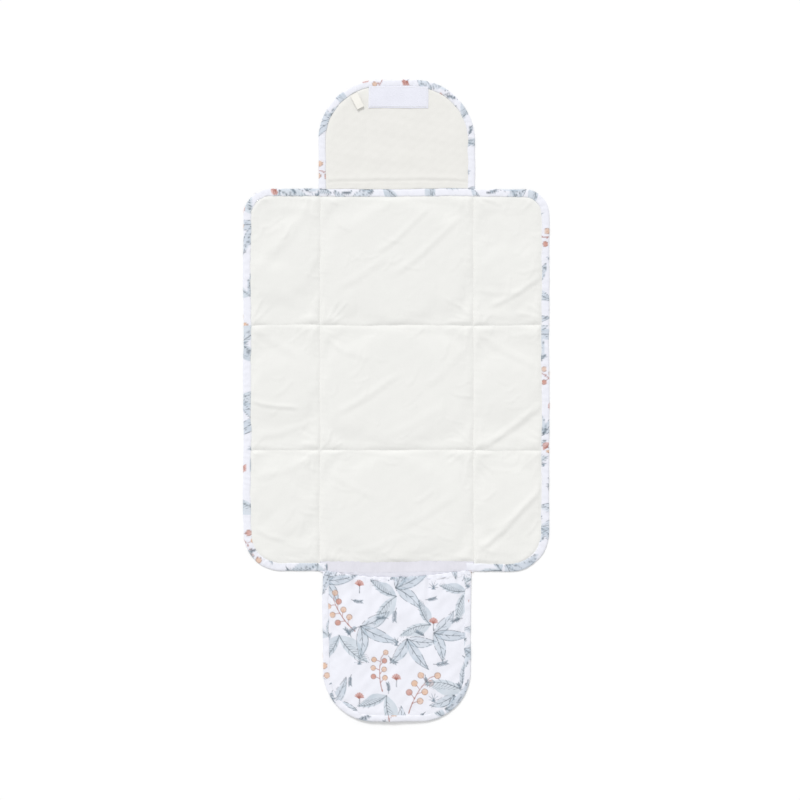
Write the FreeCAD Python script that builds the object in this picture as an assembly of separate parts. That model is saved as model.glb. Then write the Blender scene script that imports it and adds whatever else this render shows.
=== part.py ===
"""Fold-up changing pad: a quilted mat of nine panels with a closing flap and a gathered pouch.

The pad lies open and flat. +Y runs from the pouch to the flap, +X to the right, +Z up.
The origin is the middle of the open pad's footprint, on the surface it lies on.
Every panel is a sandwich of backing cloth, wadding and a raised cover whose flat margin is
stitched to its neighbours and held at the rim by a bias binding. The pad folds along the
quilting lines. Each fold line is raised to half the thickness of what it closes over, and a
strip of backing runs round the two folds that close over the most.
"""

import FreeCAD, Part
import math
import os

from FreeCAD import Vector

# ---- driving dimensions, mm ----
MAT_WIDTH = 480.0          # open mat, side to side
TOP_ROW = 214.0            # rows of panels, along Y
MIDDLE_ROW = 196.0
BOTTOM_ROW = 190.0
CENTRE_COLUMN = 241.0      # the column that carries the flap and the pouch
MAT_TOP_R = 42.0
MAT_BOTTOM_R = 60.0

FLAP_LENGTH = 171.0
FLAP_WIDTH = 245.0
FLAP_CORNER_R = 94.0

POUCH_LENGTH = 235.0
POUCH_WIDTH = 232.0
POUCH_CORNER_R = 78.0
MOUTH_INSET = 2.0          # from the pouch's fold to the ends of its mouth
MOUTH_DROP = 10.0          # how far the gathered mouth sags in its middle

CLOTH = 0.5                # one layer of quilting cotton with its turnings
WADDING = 3.0
FLAP_WADDING = 1.6
BINDING_WIDTH = 12.0       # finished width on each face
BINDING_EDGE = 0.8         # thickness of the binding round the rim
QUILT_MARGIN = 4.0         # flat stitched margin on each side of a quilting line
BARE_MARGIN = 15.0         # flat margin in front of the pouch's mouth, with no binding
GAP = 0.3                  # free space between two pieces that move apart

POUCH_DEPTH = 7.2          # outside height of the empty pouch
POUCH_BINDING = 11.0
HEM_WIDTH = 9.0
HEM_THICK = 1.4
ELASTIC_WIDTH = 5.0
ELASTIC_THICK = 0.6

TAPE_LENGTH = 93.0         # hook-and-loop fastener
HOOK_WIDTH = 34.0
LOOP_LENGTH = 110.0
LOOP_WIDTH = 44.0
HOOK_THICK = 0.7

LABEL_WIDTH = 12.5
LABEL_LENGTH = 28.0
LABEL_THICK = 0.5
LABEL_TURN = 26.0          # degrees about +Z
LABEL_PLACE = (-61.3, 470.0)

# ---- worked-out places ----
MAT_LENGTH = TOP_ROW + MIDDLE_ROW + BOTTOM_ROW
TOTAL_LENGTH = FLAP_LENGTH + MAT_LENGTH + POUCH_LENGTH
PAD_THICK = 2 * CLOTH + WADDING
FLAP_THICK = 2 * CLOTH + FLAP_WADDING
BINDING_THICK = 3 * CLOTH

Y_FLAP_END = TOTAL_LENGTH / 2
Y_MAT_TOP = Y_FLAP_END - FLAP_LENGTH
Y_UPPER = Y_MAT_TOP - TOP_ROW          # upper quilting line, the upper fold
Y_LOWER = Y_UPPER - MIDDLE_ROW         # lower quilting line, the lower fold
Y_MAT_BOTTOM = Y_LOWER - BOTTOM_ROW
Y_POUCH_END = Y_MAT_BOTTOM - POUCH_LENGTH
X_SEAM = CENTRE_COLUMN / 2
X_EDGE = MAT_WIDTH / 2
HALF_POUCH = POUCH_WIDTH / 2
Y_HOOK = Y_FLAP_END - BINDING_WIDTH - 2 * CLOTH - HOOK_WIDTH / 2
Y_LOOP = Y_UPPER - (TOP_ROW - (Y_HOOK - Y_MAT_TOP))   # meets the hook tape when closed

# ---- heights of the fold lines ----
Z_SIDE_FOLD = PAD_THICK + GAP / 2
Z_LOWER_FOLD = 2 * Z_SIDE_FOLD + GAP / 2
Z_POUCH_FOLD = -GAP / 2
Z_UPPER_FOLD = Z_SIDE_FOLD + Z_LOWER_FOLD + POUCH_DEPTH / 2 + GAP
Z_FLAP_FOLD = Z_UPPER_FOLD + (GAP + FLAP_THICK + HOOK_THICK) / 2

COLUMNS = {
    "left": (-X_EDGE, -X_SEAM),
    "centre": (-X_SEAM, X_SEAM),
    "right": (X_SEAM, X_EDGE),
}
ROWS = {
    "top": (Y_UPPER, Y_MAT_TOP),
    "middle": (Y_LOWER, Y_UPPER),
    "bottom": (Y_MAT_BOTTOM, Y_LOWER),
}
FOLDS = {
    "upper": (Y_UPPER, Z_UPPER_FOLD),
    "lower": (Y_LOWER, Z_LOWER_FOLD),
}
TALL = 60.0                # taller than any piece, for cutting tools


def rounded_face(x0, y0, x1, y1, bottom_r, top_r):
    """A flat face of a rectangle with rounded lower and upper corners; radius 0 is square."""
    corners = [
        (x1 - top_r, y1 - top_r, top_r, 0),
        (x0 + top_r, y1 - top_r, top_r, 90),
        (x0 + bottom_r, y0 + bottom_r, bottom_r, 180),
        (x1 - bottom_r, y0 + bottom_r, bottom_r, 270),
    ]
    ends = []
    edges = []
    for cx, cy, radius, start in corners:
        points = []
        for turn in (0, 45, 90):
            angle = math.radians(start + turn)
            points.append(Vector(cx + radius * math.cos(angle), cy + radius * math.sin(angle), 0))
        ends.append((points[0], points[2]))
        if radius > 0:
            edges.append(Part.Arc(*points).toShape())
    for i in range(4):
        leave = ends[i][1]
        arrive = ends[(i + 1) % 4][0]
        if (arrive - leave).Length > 1e-6:
            edges.append(Part.LineSegment(leave, arrive).toShape())
    return Part.Face(Part.Wire(Part.__sortEdges__(edges)))


def slab(face, z0, z1):
    """The face extruded from z0 to z1."""
    low = face.copy()
    low.translate(Vector(0, 0, z0))
    return low.extrude(Vector(0, 0, z1 - z0))


def block(x0, y0, z0, x1, y1, z1):
    """A box from one corner to the other."""
    return Part.makeBox(x1 - x0, y1 - y0, z1 - z0, Vector(x0, y0, z0))


def mat_face(inset):
    """The mat's outline, taken in by inset on every side."""
    return rounded_face(
        -X_EDGE + inset, Y_MAT_BOTTOM + inset, X_EDGE - inset, Y_MAT_TOP - inset,
        MAT_BOTTOM_R - inset, MAT_TOP_R - inset,
    )


def flap_face(inset, base):
    """The flap's outline, taken in by inset round its arch and by base at its fold."""
    half = FLAP_WIDTH / 2 - inset
    return rounded_face(
        -half, Y_MAT_TOP + base, half, Y_FLAP_END - inset, 0.0, FLAP_CORNER_R - inset
    )


def pouch_face(inset, y_top):
    """The pouch's outline from its round end up to y_top, taken in by inset."""
    half = HALF_POUCH - inset
    return rounded_face(
        -half, Y_POUCH_END + inset, half, y_top, POUCH_CORNER_R - inset, 0.0
    )


def binding(outer, inner, buried, z1):
    """A tape folded round a rim: a leg on each face and a wall outside the buried edge."""
    band = slab(outer, 0, z1).cut(slab(inner, -1, z1 + 1))
    return band.cut(slab(buried, CLOTH, z1 - CLOTH))


def cell(column, row, margin):
    """The block over one panel, taken in by margin at the lines it shares with others."""
    x0, x1 = COLUMNS[column]
    y0, y1 = ROWS[row]
    left = 0.0 if column == "left" else margin
    right = 0.0 if column == "right" else margin
    low = 0.0 if row == "bottom" else margin
    high = 0.0 if row == "top" else margin
    return block(x0 + left, y0 + low, -1, x1 - right, y1 - high, TALL)


def loop_block(grow):
    """The loop half of the fastener, let flush into the middle panel's back."""
    return block(
        -LOOP_LENGTH / 2 - grow, Y_LOOP - LOOP_WIDTH / 2 - grow, -grow,
        LOOP_LENGTH / 2 + grow, Y_LOOP + LOOP_WIDTH / 2 + grow, CLOTH,
    )


def mat_panels():
    """The nine panels' cover, wadding and backing, and the binding round the mat."""
    outer = mat_face(0)
    inner = mat_face(BINDING_WIDTH)
    buried = mat_face(BINDING_EDGE)
    bare = block(-X_SEAM + GAP, Y_MAT_BOTTOM, -1, X_SEAM - GAP, Y_MAT_BOTTOM + BARE_MARGIN, TALL)
    margin_layer = slab(buried, CLOTH, 2 * CLOTH).fuse(slab(outer, CLOTH, 2 * CLOTH).common(bare))
    backing_layer = slab(inner, 0, CLOTH).fuse(slab(outer, 0, CLOTH).common(bare))
    raised = slab(mat_face(BINDING_WIDTH + CLOTH), CLOTH, PAD_THICK).cut(bare)
    padding = slab(mat_face(BINDING_WIDTH + 2 * CLOTH), CLOTH, CLOTH + WADDING)
    foot = block(-X_SEAM, Y_MAT_BOTTOM, -1, X_SEAM, Y_MAT_BOTTOM + BARE_MARGIN + CLOTH, TALL)
    padding = padding.cut(foot)
    rim = binding(outer, inner, buried, BINDING_THICK).cut(bare)
    for y, half_width in FOLDS.values():
        backing_layer = backing_layer.cut(
            block(-X_EDGE, y - half_width - GAP, -1, X_EDGE, y + half_width + GAP, TALL)
        )
    backing_layer = backing_layer.cut(loop_block(GAP))
    parts = {}
    for row in ROWS:
        for column in COLUMNS:
            whole = cell(column, row, GAP)
            wadding = padding.common(cell(column, row, QUILT_MARGIN + CLOTH))
            cover = margin_layer.common(whole).fuse(raised.common(cell(column, row, QUILT_MARGIN)))
            parts[f"cover_{row}_{column}"] = cover.cut(wadding).removeSplitter()
            parts[f"wadding_{row}_{column}"] = wadding
            parts[f"backing_{row}_{column}"] = backing_layer.common(whole).removeSplitter()
            if (row, column) not in (("middle", "centre"), ("bottom", "centre")):
                parts[f"binding_{row}_{column}"] = rim.common(whole)
    parts["loop_tape"] = loop_block(0.0)
    return parts


def fold_strips():
    """The backing that goes round the two row folds, one strip for each column."""
    strips = {}
    reach = {"left": (-X_EDGE + BINDING_WIDTH, -X_SEAM - GAP),
             "centre": (-X_SEAM + GAP, X_SEAM - GAP),
             "right": (X_SEAM + GAP, X_EDGE - BINDING_WIDTH)}
    for fold, (y, half_width) in FOLDS.items():
        for column, (x0, x1) in reach.items():
            strips[f"{fold}_fold_strip_{column}"] = block(
                x0, y - half_width, 0, x1, y + half_width, CLOTH - GAP / 3
            )
    return strips


def flap_parts():
    """The closing flap with the hook half of the fastener and a blank care label."""
    rim = binding(
        flap_face(0, GAP), flap_face(BINDING_WIDTH, 0), flap_face(BINDING_EDGE, 0), BINDING_THICK
    )
    outer = slab(flap_face(BINDING_WIDTH, GAP), 0, CLOTH)
    padded = flap_face(BINDING_WIDTH + 2 * CLOTH, QUILT_MARGIN + CLOTH)
    wadding = slab(padded, CLOTH, CLOTH + FLAP_WADDING)
    raised = slab(flap_face(BINDING_WIDTH + CLOTH, QUILT_MARGIN), CLOTH, FLAP_THICK)
    margin_layer = slab(flap_face(BINDING_EDGE, GAP), CLOTH, 2 * CLOTH)
    hook = block(
        -TAPE_LENGTH / 2, Y_HOOK - HOOK_WIDTH / 2, FLAP_THICK,
        TAPE_LENGTH / 2, Y_HOOK + HOOK_WIDTH / 2, FLAP_THICK + HOOK_THICK,
    )
    label = block(
        -LABEL_WIDTH / 2, -LABEL_LENGTH / 2, 0, LABEL_WIDTH / 2, LABEL_LENGTH / 2, LABEL_THICK
    )
    label.rotate(Vector(0, 0, 0), Vector(0, 0, 1), LABEL_TURN)
    label.translate(Vector(LABEL_PLACE[0], LABEL_PLACE[1], FLAP_THICK))
    return {
        "flap_outer": outer,
        "flap_wadding": wadding,
        "flap_lining": margin_layer.fuse(raised).cut(wadding).removeSplitter(),
        "flap_binding": rim,
        "hook_tape": hook,
        "care_label": label,
    }


def above_mouth(drop_from):
    """Everything above a sagging line across the pouch, whose ends are drop_from below the fold."""
    half = HALF_POUCH + 1
    y_end = Y_MAT_BOTTOM - drop_from
    left = Vector(-half, y_end, 0)
    right = Vector(half, y_end, 0)
    edges = [
        Part.Arc(left, Vector(0, y_end - MOUTH_DROP, 0), right).toShape(),
        Part.LineSegment(right, Vector(half, Y_MAT_BOTTOM + 1, 0)).toShape(),
        Part.LineSegment(Vector(half, Y_MAT_BOTTOM + 1, 0),
                         Vector(-half, Y_MAT_BOTTOM + 1, 0)).toShape(),
        Part.LineSegment(Vector(-half, Y_MAT_BOTTOM + 1, 0), left).toShape(),
    ]
    return slab(Part.Face(Part.Wire(edges)), -1, TALL)


def pouch_parts():
    """The pouch: outer cloth, lining, a front with an elastic hem, and a binding that joins them."""
    y_start = Y_MAT_BOTTOM - GAP
    z_front = POUCH_DEPTH - 2 * CLOTH
    inner = pouch_face(POUCH_BINDING, Y_MAT_BOTTOM)
    buried = pouch_face(BINDING_EDGE, Y_MAT_BOTTOM)
    rim = binding(pouch_face(0, y_start), inner, buried, POUCH_DEPTH)
    sheet = pouch_face(BINDING_EDGE, y_start)
    front = slab(sheet, z_front, z_front + CLOTH).cut(above_mouth(MOUTH_INSET + HEM_WIDTH))
    tunnel = slab(inner, z_front + CLOTH - HEM_THICK, z_front + CLOTH)
    tunnel = tunnel.cut(above_mouth(MOUTH_INSET))
    hem = tunnel.common(above_mouth(MOUTH_INSET + HEM_WIDTH))
    inset = (HEM_WIDTH - ELASTIC_WIDTH) / 2
    z_elastic = z_front + CLOTH - (HEM_THICK + ELASTIC_THICK) / 2
    elastic = (
        slab(inner, z_elastic, z_elastic + ELASTIC_THICK)
        .cut(above_mouth(MOUTH_INSET + inset))
        .common(above_mouth(MOUTH_INSET + HEM_WIDTH - inset))
    )
    return {
        "pouch_outer": slab(pouch_face(POUCH_BINDING, y_start), 0, CLOTH),
        "pouch_lining": slab(sheet, CLOTH, 2 * CLOTH),
        "pouch_front": front,
        "pouch_hem": hem.cut(elastic),
        "pouch_elastic": elastic,
        "pouch_binding": rim,
    }


def build():
    """Makes every sub-part and writes one STEP file for each."""
    os.makedirs("parts", exist_ok=True)
    parts = {**mat_panels(), **fold_strips(), **flap_parts(), **pouch_parts()}
    for name, shape in parts.items():
        if not shape.isValid() or len(shape.Solids) != 1:
            raise ValueError(f"{name}: {len(shape.Solids)} solids, valid {shape.isValid()}")
        shape.exportStep(f"parts/{name}.step")
        box = shape.BoundBox
        print(f"{name}: {shape.Volume:.0f} mm3, x {box.XMin:.1f}..{box.XMax:.1f} "
              f"y {box.YMin:.1f}..{box.YMax:.1f} z {box.ZMin:.2f}..{box.ZMax:.2f}")
    print(f"side folds x {X_SEAM} z {Z_SIDE_FOLD:.3f}; upper y {Y_UPPER} z {Z_UPPER_FOLD:.3f}; "
          f"lower y {Y_LOWER} z {Z_LOWER_FOLD:.3f}; pouch y {Y_MAT_BOTTOM} z {Z_POUCH_FOLD:.3f}; "
          f"flap y {Y_MAT_TOP} z {Z_FLAP_FOLD:.3f}; loop y {Y_LOOP}")


build()
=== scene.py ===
"""Looks of the fold-up quilted changing pad: quilt, printed cloth, bindings, flap and gathered pouch."""

import logging
import math
from dataclasses import dataclass, field
from enum import Enum
from typing import Callable

import bmesh
import bpy
import numpy as np
from mathutils import Matrix, Vector


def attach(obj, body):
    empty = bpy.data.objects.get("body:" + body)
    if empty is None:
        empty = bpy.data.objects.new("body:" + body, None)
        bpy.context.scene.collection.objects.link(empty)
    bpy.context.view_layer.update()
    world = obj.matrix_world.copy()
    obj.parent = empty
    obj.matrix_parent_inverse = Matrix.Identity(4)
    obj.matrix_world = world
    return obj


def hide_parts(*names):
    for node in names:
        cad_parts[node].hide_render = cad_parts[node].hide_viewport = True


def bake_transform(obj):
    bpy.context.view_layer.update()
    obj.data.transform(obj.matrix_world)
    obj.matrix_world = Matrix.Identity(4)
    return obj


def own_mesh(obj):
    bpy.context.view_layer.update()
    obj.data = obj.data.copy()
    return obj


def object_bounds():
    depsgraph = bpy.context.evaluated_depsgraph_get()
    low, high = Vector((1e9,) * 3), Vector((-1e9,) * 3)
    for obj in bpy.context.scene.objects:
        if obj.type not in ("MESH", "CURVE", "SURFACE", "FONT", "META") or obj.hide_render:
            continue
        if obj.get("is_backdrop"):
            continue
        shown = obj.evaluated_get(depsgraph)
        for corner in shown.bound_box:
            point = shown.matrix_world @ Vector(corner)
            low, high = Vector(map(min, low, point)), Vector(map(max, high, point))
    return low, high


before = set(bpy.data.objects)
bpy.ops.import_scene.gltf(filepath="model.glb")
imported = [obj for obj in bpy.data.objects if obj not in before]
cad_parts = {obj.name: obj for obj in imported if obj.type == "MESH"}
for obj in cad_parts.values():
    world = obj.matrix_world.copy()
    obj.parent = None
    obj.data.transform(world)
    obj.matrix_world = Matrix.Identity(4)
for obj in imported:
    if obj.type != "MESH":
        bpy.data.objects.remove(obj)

log = logging.getLogger("changing_pad")
MM = 0.001
SHARP = math.radians(50)
Array = np.ndarray
Place = Callable[[Array, Array], tuple[Array, Array, Array]]
Line = list[tuple[float, float]]


def record_size(stage: str, sizes: dict[str, list[list[float]]]) -> None:
    """Keeps the shown object's lowest and highest corner under a stage's name.

    Args:
        stage: What has been built so far.
        sizes: The corners kept until now, added to in place.
    """
    sizes[stage] = [list(corner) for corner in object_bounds()]


def node_span(node: str) -> tuple[Array, Array]:
    """The lowest and highest corner of a CAD node.

    Args:
        node: The node's name.

    Returns:
        The two corners in millimetres, in the row frame.
    """
    points = np.array([v.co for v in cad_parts[node].data.vertices])
    return points.min(axis=0) / MM, points.max(axis=0) / MM


class Row(Enum):
    """A row of panels, from the flap down to the pouch."""

    TOP = "top"
    MIDDLE = "middle"
    BOTTOM = "bottom"


class Column(Enum):
    """A column of panels, seen from above; the value names it in the CAD."""

    LEFT = "left"
    CENTRE = "centre"
    RIGHT = "right"


@dataclass(frozen=True)
class Plan:
    """The pad's plan in millimetres, read from the CAD nodes it is dressed over."""

    x_edge: float
    x_seam: float
    y_top: float
    y_upper: float
    y_lower: float
    y_bottom: float
    flap_half: float
    y_flap_end: float
    pouch_half: float
    y_pouch_end: float
    mat_top_r: float = 42.0
    mat_bottom_r: float = 60.0
    flap_r: float = 94.0
    pouch_r: float = 78.0
    binding: float = 12.0
    bare_margin: float = 15.0
    mouth_sag: float = 10.0

    @classmethod
    def from_frame(cls) -> "Plan":
        """Measures the CAD frame.

        Returns:
            The plan, with each quilting line midway between the two panels it joins.
        """
        top_low, top_high = node_span("binding_top_left")
        middle_low, middle_high = node_span("binding_middle_left")
        bottom_low, _ = node_span("binding_bottom_left")
        centre_low, _ = node_span("cover_middle_centre")
        flap_low, flap_high = node_span("flap_binding")
        pouch_low, _ = node_span("pouch_binding")
        return cls(
            x_edge=-top_low[0],
            x_seam=-(top_high[0] + centre_low[0]) / 2,
            y_top=top_high[1],
            y_upper=(top_low[1] + middle_high[1]) / 2,
            y_lower=(middle_low[1] + node_span("binding_bottom_left")[1][1]) / 2,
            y_bottom=bottom_low[1],
            flap_half=-flap_low[0],
            y_flap_end=flap_high[1],
            pouch_half=-pouch_low[0],
            y_pouch_end=pouch_low[1],
        )

    def row_span(self, row: Row) -> tuple[float, float]:
        """Where a row starts and ends along Y, low end first."""
        spans = {
            Row.TOP: (self.y_upper, self.y_top),
            Row.MIDDLE: (self.y_lower, self.y_upper),
            Row.BOTTOM: (self.y_bottom, self.y_lower),
        }
        return spans[row]

    def column_span(self, column: Column) -> tuple[float, float]:
        """Where a column starts and ends along X, left end first."""
        spans = {
            Column.LEFT: (-self.x_edge, -self.x_seam),
            Column.CENTRE: (-self.x_seam, self.x_seam),
            Column.RIGHT: (self.x_seam, self.x_edge),
        }
        return spans[column]

    def mat_half(self, y: Array, inset: float) -> Array:
        """Half the mat's width at y, taken in by inset, with its rounded corners."""
        return rounded_half(
            y, self.x_edge - inset, self.y_bottom + inset, self.y_top - inset,
            self.mat_bottom_r - inset, self.mat_top_r - inset,
        )

    def flap_half_at(self, y: Array, inset: float) -> Array:
        """Half the flap's width at y, taken in by inset."""
        return rounded_half(
            y, self.flap_half - inset, self.y_top - 1.0, self.y_flap_end - inset,
            0.0, self.flap_r - inset,
        )

    def pouch_half_at(self, y: Array, inset: float) -> Array:
        """Half the pouch's width at y, taken in by inset."""
        return rounded_half(
            y, self.pouch_half - inset, self.y_pouch_end + inset, self.y_bottom + 1.0,
            self.pouch_r - inset, 0.0,
        )


def rounded_half(
    y: Array, half: float, y0: float, y1: float, low_r: float, high_r: float
) -> Array:
    """Half the width of an upright rounded rectangle at each y.

    Args:
        y: Places along Y.
        half: Half the full width.
        y0: Lower end.
        y1: Upper end.
        low_r: Radius of the lower corners.
        high_r: Radius of the upper corners.

    Returns:
        Half the width at each place.
    """
    low = np.clip((y0 + low_r) - y, 0.0, low_r)
    high = np.clip(y - (y1 - high_r), 0.0, high_r)
    cut = low_r - np.sqrt(np.maximum(low_r**2 - low**2, 0.0))
    cut = cut + high_r - np.sqrt(np.maximum(high_r**2 - high**2, 0.0))
    return half - cut


def smooth(t: Array) -> Array:
    """Eases 0 to 1, flat at both ends."""
    t = np.clip(t, 0.0, 1.0)
    return t * t * (3 - 2 * t)


def waves(x: Array, y: Array, length: float, seed: int, count: int = 5) -> Array:
    """Smooth irregular waves between about -1 and 1, the same each run.

    Args:
        x: Places along X in millimetres.
        y: Places along Y in millimetres.
        length: Typical wavelength in millimetres.
        seed: Which set of waves.
        count: How many are added together.

    Returns:
        The waves' height at each place.
    """
    rng = np.random.default_rng(seed)
    total = np.zeros(np.broadcast(x, y).shape)
    for _ in range(count):
        angle = rng.uniform(0, 2 * math.pi)
        k = 2 * math.pi / (length * rng.uniform(0.7, 1.6))
        shift = rng.uniform(0, 2 * math.pi)
        total = total + np.sin(k * (x * math.cos(angle) + y * math.sin(angle)) + shift)
    return total / math.sqrt(count) / 1.4


def drift(x: Array, y: Array) -> tuple[Array, Array]:
    """How far sewn cloth wanders from its straight plan, the same for every piece that meets.

    Args:
        x: Places along X in millimetres.
        y: Places along Y in millimetres.

    Returns:
        The shift along X and the shift along Y, in millimetres.
    """
    east = 0.85 * waves(x, y, 170.0, 7) + 0.35 * waves(x, y, 42.0, 8)
    north = 0.85 * waves(x, y, 150.0, 9) + 0.4 * waves(x, y, 38.0, 10)
    return east, north


# ---------------------------------------------------------------- colours and finishes


def linear(hex_colour: str) -> tuple[float, float, float]:
    """Turns an sRGB hex colour to linear.

    Args:
        hex_colour: Six hex digits, such as "EFEFEC".

    Returns:
        Red, green and blue, each 0 to 1, linear.
    """
    parts = [int(hex_colour[i:i + 2], 16) / 255 for i in (0, 2, 4)]
    return tuple(c / 12.92 if c <= 0.04045 else ((c + 0.055) / 1.055) ** 2.4 for c in parts)


def add_node(tree: bpy.types.NodeTree, kind: str, settings: dict, links: dict) -> bpy.types.Node:
    """Adds a shader node.

    Args:
        tree: The material's node tree.
        kind: The node's type name.
        settings: Attribute or input name to value.
        links: Input name to the output socket that drives it.

    Returns:
        The new node.
    """
    node = tree.nodes.new(kind)
    for name, value in settings.items():
        if hasattr(node, name):
            setattr(node, name, value)
        else:
            node.inputs[name].default_value = value
    for name, socket in links.items():
        tree.links.new(socket, node.inputs[name])
    return node


class Weave(Enum):
    """How a cloth's surface is made, and so which pattern its bump follows."""

    PLAIN = "plain"
    HOOKS = "hooks"
    PILE = "pile"
    RIBBED = "ribbed"


@dataclass(frozen=True)
class Cloth:
    """One finish: what it is, its colour, its thread spacing and how rough it is."""

    name: str
    colour: str
    weave: Weave
    pitch_mm: float
    relief: float
    roughness: float = 0.9
    sheen: float = 0.15
    mottle: float = 0.03
    printed: bool = False

    def pattern(self, tree: bpy.types.NodeTree, place: bpy.types.NodeSocket) -> bpy.types.NodeSocket:
        """The height pattern of the weave.

        Args:
            tree: The material's node tree.
            place: The coordinates it follows, in metres.

        Returns:
            The socket that holds the height, 0 to 1.
        """
        pitch = self.pitch_mm * MM
        if self.weave is Weave.HOOKS:
            dots = add_node(
                tree, "ShaderNodeTexVoronoi", {"Scale": 1 / pitch, "Randomness": 0.35},
                {"Vector": place},
            )
            return dots.outputs["Distance"]
        if self.weave is Weave.PILE:
            fuzz = add_node(
                tree, "ShaderNodeTexNoise", {"Scale": 1 / pitch, "Detail": 4.0, "Roughness": 0.7},
                {"Vector": place},
            )
            return fuzz.outputs["Factor"] if "Factor" in fuzz.outputs else fuzz.outputs[0]
        # one wave turn is 20 / scale metres, so this scale puts one thread on each pitch
        scale = math.pi / 10 / pitch
        warp = add_node(
            tree, "ShaderNodeTexWave",
            {"wave_type": "BANDS", "bands_direction": "X", "Scale": scale, "Distortion": 0.6},
            {"Vector": place},
        )
        if self.weave is Weave.RIBBED:
            return warp.outputs["Fac"]
        weft = add_node(
            tree, "ShaderNodeTexWave",
            {"wave_type": "BANDS", "bands_direction": "Y", "Scale": scale, "Distortion": 0.6},
            {"Vector": place},
        )
        both = add_node(
            tree, "ShaderNodeMath", {"operation": "MULTIPLY"}, {}
        )
        tree.links.new(warp.outputs["Fac"], both.inputs[0])
        tree.links.new(weft.outputs["Fac"], both.inputs[1])
        return both.outputs[0]

    def build(self) -> bpy.types.Material:
        """Makes the material.

        Returns:
            The material: colour with faint mottling, weave relief and a soft sheen.
        """
        material = bpy.data.materials.new(self.name)
        material.use_nodes = True
        tree = material.node_tree
        tree.nodes.clear()
        place = add_node(tree, "ShaderNodeTexCoord", {}, {}).outputs["Object"]
        if self.printed:
            colour = add_node(
                tree, "ShaderNodeAttribute", {"attribute_name": "print"}, {}
            ).outputs["Color"]
        else:
            tone = add_node(
                tree, "ShaderNodeTexNoise", {"Scale": 28.0, "Detail": 5.0}, {"Vector": place}
            )
            ramp = add_node(tree, "ShaderNodeValToRGB", {}, {"Fac": tone.outputs[0]})
            base = linear(self.colour)
            ramp.color_ramp.elements[0].position = 0.3
            ramp.color_ramp.elements[0].color = (*(c * (1 - self.mottle) for c in base), 1)
            ramp.color_ramp.elements[1].position = 0.7
            ramp.color_ramp.elements[1].color = (*(min(1, c * (1 + self.mottle)) for c in base), 1)
            colour = ramp.outputs["Color"]
        relief = add_node(
            tree, "ShaderNodeBump", {"Strength": self.relief, "Distance": self.pitch_mm * MM * 0.4},
            {"Height": self.pattern(tree, place)},
        )
        shader = add_node(
            tree, "ShaderNodeBsdfPrincipled",
            {"Roughness": self.roughness, "Sheen Weight": self.sheen, "Sheen Roughness": 0.6,
             "Specular IOR Level": 0.25},
            {"Base Color": colour, "Normal": relief.outputs["Normal"]},
        )
        add_node(tree, "ShaderNodeOutputMaterial", {}, {"Surface": shader.outputs["BSDF"]})
        return material


# Cotton percale, plain woven and washed soft: chalky ivory that shades gently in its puckers.
QUILT = Cloth("cotton_percale_woven_ivory", "E8E8E5", Weave.PLAIN, 0.9, 0.3, mottle=0.008)
# The flap's lining is the same cloth on thinner wadding, toned a touch darker and warmer: that difference
# is painted shade.
FLAP_LINING = Cloth("cotton_percale_woven_ivory_painted_shade", "E6E5E1", Weave.PLAIN, 0.9, 0.3, mottle=0.008)
# Cotton lawn, roller printed: colour sits in the yarn, so the print is as matt as its ground.
PRINTED = Cloth("cotton_lawn_roller_printed", "EDEFF5", Weave.PLAIN, 0.9, 0.25, printed=True)
# Polyester-cotton pocketing, dyed: cool lavender-white and slightly smoother.
LINING = Cloth("polycotton_pocketing_lavender", "E0E0E9", Weave.PLAIN, 0.8, 0.3, roughness=0.8)
# The same pocketing, faced over the mat's margin and stretched flat, given a tone of its own a touch darker
# than the lining: the difference is painted light.
FACING = Cloth("polycotton_pocketing_painted_light_tone", "DFDEE6", Weave.PLAIN, 0.8, 0.3, roughness=0.8)
# Nylon hook tape, woven and cut: hard little hooks with a faint plastic glint.
HOOKS = Cloth("nylon_hook_tape_woven", "E7E8F2", Weave.HOOKS, 1.7, 0.9, roughness=0.5, sheen=0.0)
# Nylon loop tape, brushed: a felted, furry white.
LOOPS = Cloth("nylon_loop_tape_brushed", "E9EAF2", Weave.PILE, 1.2, 0.9, sheen=0.5)
# Polyester satin ribbon, heat cut: smooth with a fine rib across it.
LABEL = Cloth("polyester_satin_ribbon", "E9E7E1", Weave.RIBBED, 0.8, 0.2, roughness=0.55)
# Spun polyester sewing thread, twisted: bright against the ivory.
THREAD = Cloth("polyester_thread_twisted", "F2F2F0", Weave.RIBBED, 0.5, 0.5, roughness=0.7)


# ---------------------------------------------------------------- the printed cloth


# How many motifs stand across and down one repeat of the print.
LATTICE = 4

# How many points are drawn round a berry.
BERRY_SIDES = 16

# Degrees each motif is turned from the last, so that no two neighbours lie alike.
GOLDEN_TURN = 137.5


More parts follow.
